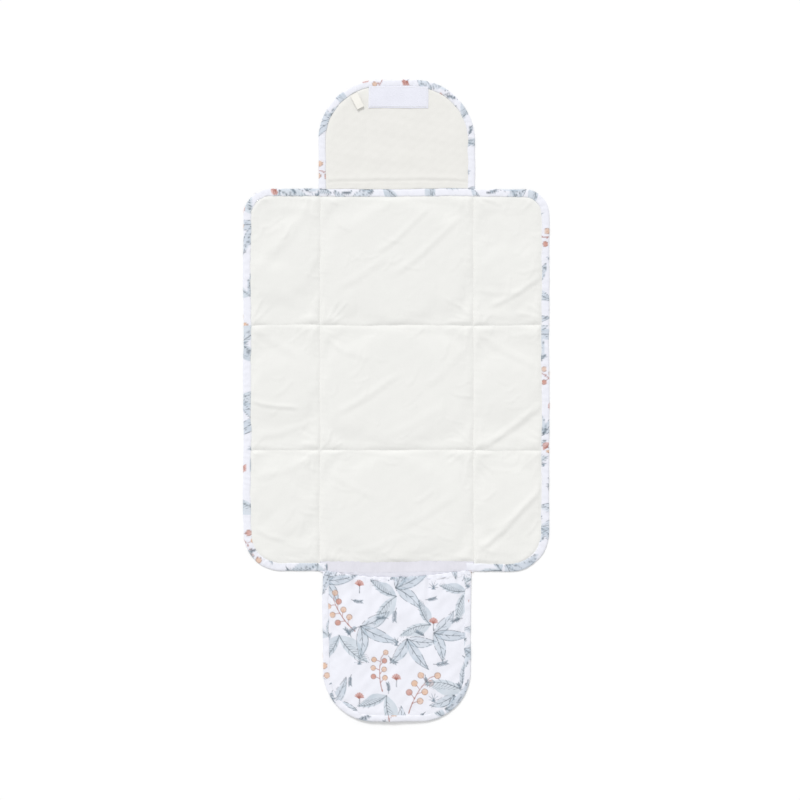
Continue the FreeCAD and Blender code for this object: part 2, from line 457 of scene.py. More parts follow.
@dataclass
class Artwork:
    """A repeat of printed cloth, painted in millimetres on a fine grid and sampled anywhere."""

    width: float = 232.0
    height: float = 235.0
    grain: float = 0.5
    ground: str = "E8E9F1"
    ink: str = "4C5863"
    rust: str = "A5685C"
    canvas: Array = field(init=False)
    strokes: int = field(init=False, default=0)

    def __post_init__(self) -> None:
        """Lays the ground and paints the repeat."""
        rows, columns = int(self.height / self.grain), int(self.width / self.grain)
        self.canvas = np.ones((rows, columns, 3)) * np.array(linear(self.ground))
        self.compose()

    def lay(self, cover: Array, window: tuple, colour: str) -> None:
        """Lays a colour over part of the canvas, as thickly as cover says."""
        shade = np.array(linear(colour))
        self.canvas[window] += (shade - self.canvas[window]) * cover[..., None]

    def wash(self, outline: Line | Array, colour: str, strength: float = 0.8) -> None:
        """Floods a closed outline with thin colour that gathers a little at its edge.

        Args:
            outline: Points round it, in millimetres.
            colour: sRGB hex.
            strength: How much of the ground it hides.
        """
        loop = np.array(outline, float)
        low, high = loop.min(axis=0) - 1, loop.max(axis=0) + 1
        rows, columns, _ = self.canvas.shape
        i = np.arange(math.floor(low[1] / self.grain), math.ceil(high[1] / self.grain))
        j = np.arange(math.floor(low[0] / self.grain), math.ceil(high[0] / self.grain))
        y, x = np.meshgrid((i + 0.5) * self.grain, (j + 0.5) * self.grain, indexing="ij")
        inside = np.zeros(x.shape, bool)
        away = np.full(x.shape, 1e9)
        for (ax, ay), (bx, by) in zip(loop, np.roll(loop, -1, axis=0)):
            dx, dy = bx - ax, by - ay
            t = np.clip(((x - ax) * dx + (y - ay) * dy) / (dx * dx + dy * dy + 1e-9), 0, 1)
            away = np.minimum(away, np.hypot(x - ax - t * dx, y - ay - t * dy))
            inside ^= ((ay > y) != (by > y)) & (x < dx * (y - ay) / (dy + 1e-9 * (dy == 0)) + ax)
        depth = np.where(inside, away, -away) + 0.25 * waves(x, y, 5.0, 61)
        pooled = 0.8 + 0.2 * np.exp(-np.clip(depth, 0, None) / 1.2) + 0.12 * waves(x, y, 14.0, 62)
        cover = np.clip(0.5 + depth / 0.8, 0, 1) * np.clip(strength * pooled, 0, 1)
        self.lay(cover, np.ix_(i % rows, j % columns), colour)

    def draw(self, points: Line | Array, width: float = 1.0, colour: str = "", gaps: float = 0.0,
             taper: float = 0.0) -> None:
        """Draws a pen line whose weight wavers, broken where the nib skips.

        Args:
            points: Points along it, in millimetres.
            width: Its full weight.
            colour: sRGB hex, or the artwork's ink if empty.
            gaps: How much of it is skipped, 0 to 1.
            taper: How much thinner it ends than it starts, 0 to 1.
        """
        self.strokes += 1
        path = np.array(points, float)
        run = np.concatenate([[0], np.cumsum(np.linalg.norm(np.diff(path, axis=0), axis=1))])
        at = np.arange(0, run[-1], self.grain * 0.6)
        x, y = np.interp(at, run, path[:, 0]), np.interp(at, run, path[:, 1])
        weight = 1 - taper * at / max(run[-1], 1e-6) + 0.25 * waves(at, at * 0, 7.0, self.strokes)
        kept = waves(at, at * 0, 11.0, self.strokes + 500) > 1.8 * gaps - 1.1
        x, y, half = x[kept], y[kept], width * weight[kept] / 2
        if len(x) == 0:
            return
        reach = math.ceil((width * 0.7 + 0.5) / self.grain)
        row, column = np.floor(y / self.grain).astype(int), np.floor(x / self.grain).astype(int)
        top, left = row.min() - reach, column.min() - reach
        cover = np.zeros((row.max() + reach + 1 - top, column.max() + reach + 1 - left))
        for di in range(-reach, reach + 1):
            for dj in range(-reach, reach + 1):
                i, j = row + di, column + dj
                away = np.hypot((i + 0.5) * self.grain - y, (j + 0.5) * self.grain - x)
                ink = np.clip(0.5 + (half - away) / (1.3 * self.grain), 0, 1)
                np.maximum.at(cover, (i - top, j - left), ink)
        rows, columns, _ = self.canvas.shape
        window = np.ix_((top + np.arange(cover.shape[0])) % rows,
                        (left + np.arange(cover.shape[1])) % columns)
        self.lay(cover * 0.92, window, colour or self.ink)

    def curve(self, x: float, y: float, angle: float, length: float, bend: float,
              steps: int = 8) -> list[tuple[float, float]]:
        """Points along an arc that starts at x, y heading at angle (0 right, 90 up).

        Args:
            x: Where it starts across the cloth, in millimetres.
            y: Where it starts down the cloth, in millimetres.
            angle: Its heading in degrees, 0 right and 90 up.
            length: Its length in millimetres.
            bend: Degrees it turns along its length.
            steps: How many straight steps it is made of.

        Returns:
            Points along it, in millimetres.
        """
        points = [(x, y)]
        heading = math.radians(angle)
        for _ in range(steps):
            x += math.cos(heading) * length / steps
            y -= math.sin(heading) * length / steps
            points.append((x, y))
            heading += math.radians(bend) / steps
        return points

    def blade(self, rib: Line, width: float, lean: float = 0.0) -> Array:
        """The outline of a leaf round its rib; lean makes one side wider than the other.

        Args:
            rib: Points along its middle.
            width: Its greatest width in millimetres.
            lean: How much wider one side is than the other.

        Returns:
            Points round it, in millimetres.
        """
        spine = np.array(rib)
        ahead = np.gradient(spine, axis=0)
        across = np.column_stack([-ahead[:, 1], ahead[:, 0]]) / np.linalg.norm(ahead, axis=1)[:, None]
        t = np.linspace(0, 1, len(spine))[:, None]
        half = width / 2 * np.sin(np.pi * t**0.8)
        return np.vstack([spine + across * half * (1 + lean), (spine - across * half * (1 - lean))[::-1]])

    def leaf(self, x: float, y: float, angle: float, length: float, bend: float, width: float,
             colour: str, strength: float = 0.7) -> None:
        """A long leaf: a wash set a little off its broken outline, a midrib and side veins.

        Args:
            x: Where it starts across the cloth, in millimetres.
            y: Where it starts down the cloth, in millimetres.
            angle: Its heading in degrees, 0 right and 90 up.
            length: Its length in millimetres.
            bend: Degrees it turns along its length.
            width: Its greatest width in millimetres.
            colour: sRGB hex.
            strength: How much of the ground it hides.
        """
        rib = self.curve(x, y, angle, length, bend, 12)
        edge = self.blade(rib, width)
        self.wash(edge + np.array([0.9, 0.7]), colour, strength)
        self.draw(edge[:len(rib)], 0.8, gaps=0.35, taper=0.3)
        self.draw(edge[len(rib):], 0.8, gaps=0.5)
        self.draw(rib, 1.1, gaps=0.1, taper=0.5)
        for n in range(2, 11, 2):
            (ax, ay), (bx, by) = rib[n - 1], rib[n]
            heading = math.degrees(math.atan2(ay - by, bx - ax))
            side = 1 if n % 4 else -1
            self.draw(self.curve(bx, by, heading + side * 40, width * 0.42, -side * 20, 3), 0.6)

    def frond(self, x: float, y: float, angle: float, length: float, bend: float,
              colour: str) -> None:
        """A drooping, feathery frond: a lopsided wash under its rib, cut into by leaflets.

        Args:
            x: Where it starts across the cloth, in millimetres.
            y: Where it starts down the cloth, in millimetres.
            angle: Its heading in degrees, 0 right and 90 up.
            length: Its length in millimetres.
            bend: Degrees it turns along its length.
            colour: sRGB hex.
        """
        rib = self.curve(x, y, angle, length, bend, 12)
        lean = 0.55 if bend < 0 else -0.55
        self.wash(self.blade(rib, length * 0.36, lean), colour, 0.75)
        self.draw(rib, 1.1, gaps=0.08, taper=0.5)
        below = -1 if bend < 0 else 1
        for n in range(2, 12):
            (ax, ay), (bx, by) = rib[n - 1], rib[n]
            heading = math.degrees(math.atan2(ay - by, bx - ax))
            reach = length * 0.27 * math.sin(math.pi * n / 12.5)
            self.draw(self.curve(bx, by, heading + below * 55, reach, -below * 25, 3), 0.7,
                      gaps=0.15, taper=0.6)
            if n % 2:
                self.draw(self.curve(bx, by, heading - below * 45, reach * 0.5, below * 20, 3), 0.6)

    def fan(self, x: float, y: float, size: float) -> None:
        """A small rust fan of petals on a bare stem.

        Args:
            x: Where it starts across the cloth, in millimetres.
            y: Where it starts down the cloth, in millimetres.
            size: Its length in millimetres.
        """
        self.draw(self.curve(x, y, 92, size * 0.62, -10), 1.1)
        top = (x - 0.6, y - size * 0.58)
        petals = [self.curve(*top, 22 + n * 20, size * (0.5 - 0.03 * abs(n - 3)), (n - 3) * 10, 5)
                  for n in range(7)]
        self.wash([top, *(petal[-1] for petal in petals)], "D3988B", 0.8)
        for petal in petals:
            self.draw(petal, 1.2, self.rust, taper=0.3, gaps=0.1)

    def grass(self, x: float, y: float, size: float) -> None:
        """A tuft of grass blades."""
        for n in range(6):
            blade = self.curve(x + (n - 2.5) * 1.1, y, 28 + n * 25, size * (1.3 - abs(n - 2.5) * 0.12),
                               (n - 2.5) * 14, 4)
            self.draw(blade, 1.5 if n % 2 else 1.0, "8797A5" if n % 2 else self.ink, taper=0.6)

    def sprig(self, x: float, y: float, angle: float, size: float) -> None:
        """A stem with pairs of small pointed leaves.

        Args:
            x: Where it starts across the cloth, in millimetres.
            y: Where it starts down the cloth, in millimetres.
            angle: Its heading in degrees, 0 right and 90 up.
            size: Its length in millimetres.
        """
        stem = self.curve(x, y, angle, size, 25, 8)
        self.draw(stem, 0.9, gaps=0.1)
        for n in range(2, 9):
            (ax, ay), (bx, by) = stem[n - 1], stem[n]
            heading = math.degrees(math.atan2(ay - by, bx - ax))
            for side in (-1, 1):
                rib = self.curve(bx, by, heading + side * 48, size * 0.26, -side * 20, 6)
                self.wash(self.blade(rib, size * 0.08), "A9BAC9", 0.8)
                self.draw(rib, 0.8, gaps=0.1, taper=0.4)

    def spray(self, x: float, y: float, angle: float, size: float) -> None:
        """Three long leaves that part from one point, the middle one longest."""
        for turn, reach, bend, wash in (
            (-44, 0.8, -35, "B9C7D3"), (44, 0.8, 35, "C4CFDA"), (0, 1.0, 22, "B3C2CF"),
        ):
            self.leaf(x, y, angle + turn, size * reach, bend, size * 0.28, wash)

    def berries(self, x: float, y: float, angle: float, size: float) -> None:
        """A rust stem whose side twigs each carry a round tan berry.

        Args:
            x: Where it starts across the cloth, in millimetres.
            y: Where it starts down the cloth, in millimetres.
            angle: Its heading in degrees, 0 right and 90 up.
            size: Its length in millimetres.
        """
        stem = self.curve(x, y, angle, size, -30, 8)
        self.draw(stem, 1.6, self.rust, gaps=0.05, taper=0.4)
        for n in range(2, 9):
            side = 1 if n % 2 else -1
            twig = self.curve(*stem[n], angle + side * 50, size * 0.2, side * 20, 3)
            self.draw(twig, 1.0, self.rust)
            (cx, cy), radius = twig[-1], size * 0.075
            turns = np.arange(BERRY_SIDES) * 2 * math.pi / BERRY_SIDES
            ring = list(zip(cx + radius * np.cos(turns), cy + radius * np.sin(turns)))
            self.wash(ring, "DCB79C" if n % 3 else "C98F80", 0.95)
            self.draw([*ring, ring[0]], 0.7, "8A6458", gaps=0.25)

    def twin_fronds(self, x: float, y: float, angle: float, size: float) -> None:
        """Two feathery fronds that curl away from each other."""
        self.frond(x, y, angle + 22, size, 45, "BDCAD3")
        self.frond(x, y, angle - 22, size * 0.85, -45, "B3C1CC")

    def compose(self) -> None:
        """Paints one repeat: a half-drop of plain plant motifs, with small growth between them."""
        motifs = (self.spray, self.berries, self.twin_fronds, self.spray, self.twin_fronds)
        across, down = self.width / LATTICE, self.height / LATTICE
        for n in range(LATTICE * LATTICE):
            column, row = divmod(n, LATTICE)
            x, y = (column + 0.5) * across, (row + 0.5 * (column % 2) + 0.25) * down
            angle, size = GOLDEN_TURN * n, across * (0.92 + 0.1 * (n % 3))
            heading = math.radians(angle)
            motifs[n % len(motifs)](x - math.cos(heading) * size / 2, y + math.sin(heading) * size / 2,
                                    angle, size)
            between_x, between_y = x + across * 0.5, y + down * 0.22
            if n % 3 == 0:
                self.fan(between_x, between_y + 6, 19)
            elif n % 3 == 1:
                self.sprig(between_x, between_y, angle + 60, 20)
            else:
                self.grass(between_x, between_y, 11)
            self.sprig(x + across * 0.28, y - down * 0.5, angle + 200, 16)

    def sample(self, x: Array, y: Array) -> Array:
        """The print's colour at places on a cloth.

        Args:
            x: Across the cloth, in millimetres.
            y: Down the cloth, in millimetres.

        Returns:
            Linear colours, one row of four for each place.
        """
        rows, columns, _ = self.canvas.shape
        fx, fy = x / self.grain - 0.5, y / self.grain - 0.5
        i, j = np.floor(fy).astype(int), np.floor(fx).astype(int)
        ty, tx = (fy - i)[:, None], (fx - j)[:, None]
        i0, i1, j0, j1 = i % rows, (i + 1) % rows, j % columns, (j + 1) % columns
        upper = self.canvas[i0, j0] * (1 - tx) + self.canvas[i0, j1] * tx
        lower = self.canvas[i1, j0] * (1 - tx) + self.canvas[i1, j1] * tx
        return np.hstack([upper * (1 - ty) + lower * ty, np.ones((len(x), 1))])


# ---------------------------------------------------------------- making pieces


def cloth_piece(name: str, across: int, along: int, place: Place, under: float) -> bpy.types.Object:
    """Makes a closed piece of cloth: a fine shaped face over a flat one.

    Args:
        name: The piece's name.
        across: Faces across it.
        along: Faces along it.
        place: Turns two arrays from 0 to 1 into the upper face's millimetres.
        under: Height of the lower face, in millimetres.

    Returns:
        The piece's object, at the origin.
    """
    mesh = bpy.data.meshes.new(name)
    shape = bmesh.new()
    bmesh.ops.create_grid(shape, x_segments=across, y_segments=along, size=0.5)
    count = len(shape.verts)
    bmesh.ops.extrude_face_region(shape, geom=shape.faces[:])
    shape.to_mesh(mesh)
    shape.free()
    points = vertices(mesh)
    x, y, z = place(points[:, 0] + 0.5, points[:, 1] + 0.5)
    lower = np.arange(len(points)) < count
    z = np.where(lower, under, z)
    return finished(mesh, np.column_stack([x, y, z]))


def tape_piece(name: str, path: Array, outward: Array, section: list[tuple[float, float]],
               ripple: float, seed: int) -> bpy.types.Object:
    """Makes a tape folded round a rim by carrying its section along a path.

    Args:
        name: The piece's name.
        path: The rim's points in millimetres.
        outward: The unit normal at each point, away from the cloth.
        section: The folded tape's outline as distance in from the rim and height.
        ripple: How far its edge wanders, in millimetres.
        seed: Which set of ripples.

    Returns:
        The piece's object, with its run and girth in millimetres kept for the print.
    """
    mesh = bpy.data.meshes.new(name)
    shape = bmesh.new()
    rows, girth = len(path) - 1, len(section)
    bmesh.ops.create_grid(shape, x_segments=rows, y_segments=girth, size=0.5)
    shape.to_mesh(mesh)
    shape.free()
    grid = vertices(mesh)
    i = np.rint((grid[:, 0] + 0.5) * rows).astype(int)
    j = np.rint((grid[:, 1] + 0.5) * girth).astype(int)
    run = np.concatenate([[0], np.cumsum(np.linalg.norm(np.diff(path, axis=0), axis=1))])
    outline = np.array(section)[j % girth]
    wander = waves(run[i], np.zeros(len(i)), 26.0, seed) * ripple
    inward = outline[:, 0] + wander * outline[:, 0] / outline[:, 0].max()
    rise = outline[:, 1] * (1 + 0.12 * waves(run[i], inward, 9.0, seed + 1))
    plan = path[i] - outward[i] * inward[:, None]
    step = np.linalg.norm(np.diff(np.array(section + section[:1]), axis=0), axis=1)
    around = np.concatenate([[0], np.cumsum(step)])
    store(mesh, "tape_run", run[i])
    store(mesh, "tape_girth", around[j])
    return finished(mesh, np.column_stack([plan, rise]), weld=True)


def vertices(mesh: bpy.types.Mesh) -> Array:
    """A mesh's points, one row each.

    Args:
        mesh: The mesh to read.

    Returns:
        The points in metres.
    """
    found = np.empty(len(mesh.vertices) * 3)
    mesh.vertices.foreach_get("co", found)
    return found.reshape(-1, 3)


def store(mesh: bpy.types.Mesh, name: str, values: Array) -> None:
    """Keeps one number for each vertex as a named attribute."""
    attribute = mesh.attributes.new(name, "FLOAT", "POINT")
    attribute.data.foreach_set("value", values.astype(np.float32))


def stored(mesh: bpy.types.Mesh, name: str) -> Array:
    """Reads back what store() kept.

    Args:
        mesh: The mesh to read.
        name: The attribute's name.

    Returns:
        The numbers, one for each vertex.
    """
    values = np.empty(len(mesh.vertices), np.float32)
    mesh.attributes[name].data.foreach_get("value", values)
    return values.astype(float)


def finished(mesh: bpy.types.Mesh, points: Array, weld: bool = False) -> bpy.types.Object:
    """Places a mesh's points, closes it, turns its faces outwards and links its object.

    Args:
        mesh: The mesh to finish.
        points: Its points in millimetres.
        weld: Whether to join its first and last line of points and close its ends.

    Returns:
        The object.
    """
    points = points.copy()
    east, north = drift(points[:, 0], points[:, 1])
    points[:, 0] += east
    points[:, 1] += north
    mesh.vertices.foreach_set("co", (points * MM).ravel())
    shape = bmesh.new()
    shape.from_mesh(mesh)
    if weld:
        bmesh.ops.remove_doubles(shape, verts=shape.verts[:], dist=1e-6)
        bmesh.ops.holes_fill(shape, edges=[e for e in shape.edges if e.is_boundary])
    bmesh.ops.recalc_face_normals(shape, faces=shape.faces[:])
    for face in shape.faces:
        face.smooth = True
    for edge in shape.edges:
        edge.smooth = edge.calc_face_angle(0.0) < SHARP
    shape.to_mesh(mesh)
    shape.free()
    piece = bpy.data.objects.new(mesh.name, mesh)
    bpy.context.scene.collection.objects.link(piece)
    return piece


def rounded_path(corners: list[tuple[float, float]], radius: float, step: float) -> tuple[Array, Array]:
    """Samples a path with right-angled corners rounded to one radius.

    Args:
        corners: Its ends and corners in millimetres, counter-clockwise round the cloth.
        radius: Corner radius.
        step: Distance between points.

    Returns:
        The points and the outward unit normal at each.
    """
    points, normals = [], []
    stops = [np.array(c, float) for c in corners]
    start = stops[0]
    for n in range(1, len(stops)):
        heading = (stops[n] - stops[n - 1]) / np.linalg.norm(stops[n] - stops[n - 1])
        last = n == len(stops) - 1
        stop = stops[n] if last else stops[n] - heading * radius
        count = max(2, round(np.linalg.norm(stop - start) / step))
        for t in np.linspace(0, 1, count, endpoint=last):
            points.append(start + (stop - start) * t)
            normals.append(np.array([heading[1], -heading[0]]))
        if last:
            break
        turn = (stops[n + 1] - stops[n]) / np.linalg.norm(stops[n + 1] - stops[n])
        centre = stop + turn * radius
        for angle in np.linspace(0, math.pi / 2, round(radius * math.pi / 2 / step), endpoint=False):
            out = -turn * math.cos(angle) + heading * math.sin(angle)
            points.append(centre + out * radius)
            normals.append(out)
        start = centre + heading * radius
    return np.array(points), np.array(normals)


def stitch_line(name: str, path: Array, height: Callable[[Array, Array], Array],
                pitch: float = 4.0) -> bpy.types.Object:
    """Lays a row of machine stitches along a path.

    Args:
        name: The piece's name.
        path: Points along the row, in millimetres.
        height: The cloth's height at places in plan.
        pitch: Distance from stitch to stitch.

    Returns:
        One object that holds every stitch of the row.
    """
    run = np.concatenate([[0], np.cumsum(np.linalg.norm(np.diff(path, axis=0), axis=1))])
    places = np.arange(pitch / 2, run[-1], pitch)
    x, y = np.interp(places, run, path[:, 0]), np.interp(places, run, path[:, 1])
    ahead_x = np.interp(places + 1, run, path[:, 0]) - np.interp(places - 1, run, path[:, 0])
    ahead_y = np.interp(places + 1, run, path[:, 1]) - np.interp(places - 1, run, path[:, 1])
    z = height(x, y)
    east, north = drift(x, y)
    x, y = x + east, y + north
    mesh = bpy.data.meshes.new(name)
    shape = bmesh.new()
    for n in range(len(places)):
        made = bmesh.ops.create_uvsphere(shape, u_segments=6, v_segments=4, radius=0.5)["verts"]
        bmesh.ops.scale(shape, vec=(pitch * 0.72, 0.55, 0.45), verts=made)
        turn = Matrix.Rotation(math.atan2(ahead_y[n], ahead_x[n]), 3, "Z")
        bmesh.ops.rotate(shape, cent=(0, 0, 0), matrix=turn, verts=made)
        bmesh.ops.translate(shape, vec=(x[n], y[n], z[n]), verts=made)
    bmesh.ops.scale(shape, vec=(MM, MM, MM), verts=shape.verts[:])
    shape.to_mesh(mesh)
    shape.free()
    mesh.shade_smooth()
    piece = bpy.data.objects.new(name, mesh)
    bpy.context.scene.collection.objects.link(piece)
    return piece


@dataclass
class Workroom:
    """What every sub-assembly shares: the plan, the printed cloth and the finishes."""

    plan: Plan
    artwork: Artwork
    finishes: dict[str, bpy.types.Material] = field(default_factory=dict)

    def dress(self, piece: bpy.types.Object, cloth: Cloth, slot: str) -> bpy.types.Object:
        """Gives a piece its finish.

        Args:
            piece: The piece.
            cloth: Its finish.
            slot: Not used.

        Returns:
            The same piece.
        """
        if cloth.name not in self.finishes:
            self.finishes[cloth.name] = cloth.build()
        piece.data.materials.append(self.finishes[cloth.name])
        return piece

    @staticmethod
    def cut(piece: bpy.types.Object, held: str, rests_on: str, ease: float = 1.0) -> None:
        """Logs a piece's size as a sheet of cloth, cut ease times as wide as it now lies.

        Args:
            piece: The piece.
            held: Not used.
            rests_on: Not used.
            ease: How many times as wide it is cut as it lies.
        """
        size = np.ptp(vertices(piece.data), axis=0)
        width, length = ease * size[0], size[1]
        log.info("sheet %s: %.0f x %.0f mm", piece.name, width / MM, length / MM)

    def print_on(self, piece: bpy.types.Object, u: Array, v: Array) -> None:
        """Prints a piece's vertices with the artwork at u, v in millimetres.

        Args:
            piece: The piece.
            u: Across the print, in millimetres.
            v: Down the print, in millimetres.
        """
        colours = self.artwork.sample(u, v)
        layer = piece.data.color_attributes.new("print", "FLOAT_COLOR", "POINT")
        layer.data.foreach_set("color", colours.astype(np.float32).ravel())

    def print_flat(self, piece: bpy.types.Object, shift: tuple[float, float], flip: bool = False) -> None:
        """Prints a flat piece from above, or from below if flip is true.

        Args:
            piece: The piece.
            shift: Where the print's corner lies, in millimetres.
            flip: Whether it is seen from below.
        """
        points = vertices(piece.data) / MM
        x = -points[:, 0] if flip else points[:, 0]
        self.print_on(piece, x + shift[0], shift[1] - points[:, 1])

    def print_tape(self, piece: bpy.types.Object, shift: float) -> None:
        """Prints a folded tape along its run, as bias-cut strips of the same cloth are."""
        run, girth = stored(piece.data, "tape_run"), stored(piece.data, "tape_girth")
        self.print_on(piece, run * 0.82 + girth * 0.57 + shift, girth * 0.82 - run * 0.57 + shift)


# ---------------------------------------------------------------- the quilted mat


@dataclass
class SettledQuilt:
    """The mat's cover, sewn down along its quilting lines and settled by cloth simulation."""

    plan: Plan
    spacing: float = 6.0
    frames: int = 26
    ease: float = -0.03
    lift_cap: float = 3.4
    fine: float = 1.5

    def __post_init__(self) -> None:
        """Runs the simulation once and keeps its heights on a fine, smoothed net."""
        self.x = np.arange(-self.plan.x_edge, self.plan.x_edge + 0.1, self.fine)
        self.y = np.arange(self.plan.y_bottom, self.plan.y_top + 0.1, self.fine)
        self.height = np.zeros((len(self.y), len(self.x)))
        x, y, z = self.settle()
        rows = np.array([np.interp(self.x, x, line) for line in z])
        net = np.array([np.interp(self.y, y, rows[:, n]) for n in range(len(self.x))]).T
        for _ in range(3):
            net = self.blurred(self.blurred(net).T).T
        self.height = net

    @staticmethod
    def blurred(net: Array) -> Array:
        """Averages each value with its neighbours down the columns."""
        wide = np.pad(net, ((2, 2), (0, 0)), mode="edge")
        return sum(wide[n:n + len(net)] for n in range(5)) / 5

    def settle(self) -> tuple[Array, Array, Array]:
        """Settles a coarse cover, longer than its frame, under light pressure from below.

        Returns:
            The coarse net's x, its y and its heights in millimetres.
        """
        p = self.plan
        width, length = 2 * p.x_edge, p.y_top - p.y_bottom
        across, along = round(width / self.spacing), round(length / self.spacing)
        mesh = bpy.data.meshes.new("cover_to_settle")
        shape = bmesh.new()
        bmesh.ops.create_grid(shape, x_segments=across, y_segments=along, size=0.5)
        bmesh.ops.scale(shape, vec=(width * MM, length * MM, 1), verts=shape.verts[:])
        bmesh.ops.translate(shape, vec=(0, (p.y_top + p.y_bottom) / 2 * MM, 0), verts=shape.verts[:])
        shape.to_mesh(mesh)
        shape.free()
        cover = bpy.data.objects.new("cover_to_settle", mesh)
        bpy.context.scene.collection.objects.link(cover)
        rest = vertices(mesh) / MM
        reach = self.spacing * 0.55
        sewn = np.minimum(abs(abs(rest[:, 0]) - p.x_seam), abs(rest[:, 1] - p.y_upper))
        sewn = np.minimum(sewn, abs(rest[:, 1] - p.y_lower)) < reach
        rim = p.mat_half(rest[:, 1], 0.0) - abs(rest[:, 0]) < p.binding
        ends = (rest[:, 1] > p.y_top - p.binding) | (rest[:, 1] < p.y_bottom + p.binding)
        held = np.flatnonzero(sewn | rim | ends)
        cover.vertex_groups.new(name="sewn").add(held.tolist(), 1.0, "REPLACE")
        cloth = cover.modifiers.new("settle", "CLOTH")
        cloth.settings.vertex_group_mass = "sewn"
        cloth.settings.quality = 6
        cloth.settings.mass = 0.2
        cloth.settings.tension_stiffness = 25
        cloth.settings.compression_stiffness = 25
        cloth.settings.bending_stiffness = 0.15
        cloth.settings.shrink_min = self.ease
        cloth.settings.use_pressure = True
        cloth.settings.uniform_pressure_force = 0.5
        cloth.settings.effector_weights.gravity = 0
        scene = bpy.context.scene
        for frame_number in range(1, self.frames + 1):
            scene.frame_set(frame_number)
        evaluated = cover.evaluated_get(bpy.context.evaluated_depsgraph_get())
        settled = vertices(evaluated.data) / MM
        order = np.lexsort((rest[:, 0], rest[:, 1]))
        lift = np.clip(settled[order, 2], -self.lift_cap, self.lift_cap)
        lift = lift.reshape(along + 1, across + 1)
        x = np.unique(rest[:, 0].round(3))
        y = np.unique(rest[:, 1].round(3))
        log.info("cover settled: %.1f to %.1f mm", settled[:, 2].min(), settled[:, 2].max())
        bpy.data.objects.remove(cover)
        scene.frame_set(1)
        return x, y, lift

    def at(self, x: Array, y: Array) -> Array:
        """The settled height at places in plan.

        Args:
            x: Across the pad, in millimetres.
            y: Along the pad, in millimetres.

        Returns:
            Heights in millimetres.
        """
        fx = np.clip((x - self.x[0]) / self.fine, 0, len(self.x) - 1.001)
        fy = np.clip((y - self.y[0]) / self.fine, 0, len(self.y) - 1.001)
        i, j = fy.astype(int), fx.astype(int)
        tx, ty = fx - j, fy - i
        low = self.height[i, j] * (1 - tx) + self.height[i, j + 1] * tx
        high = self.height[i + 1, j] * (1 - tx) + self.height[i + 1, j + 1] * tx
        return low * (1 - ty) + high * ty


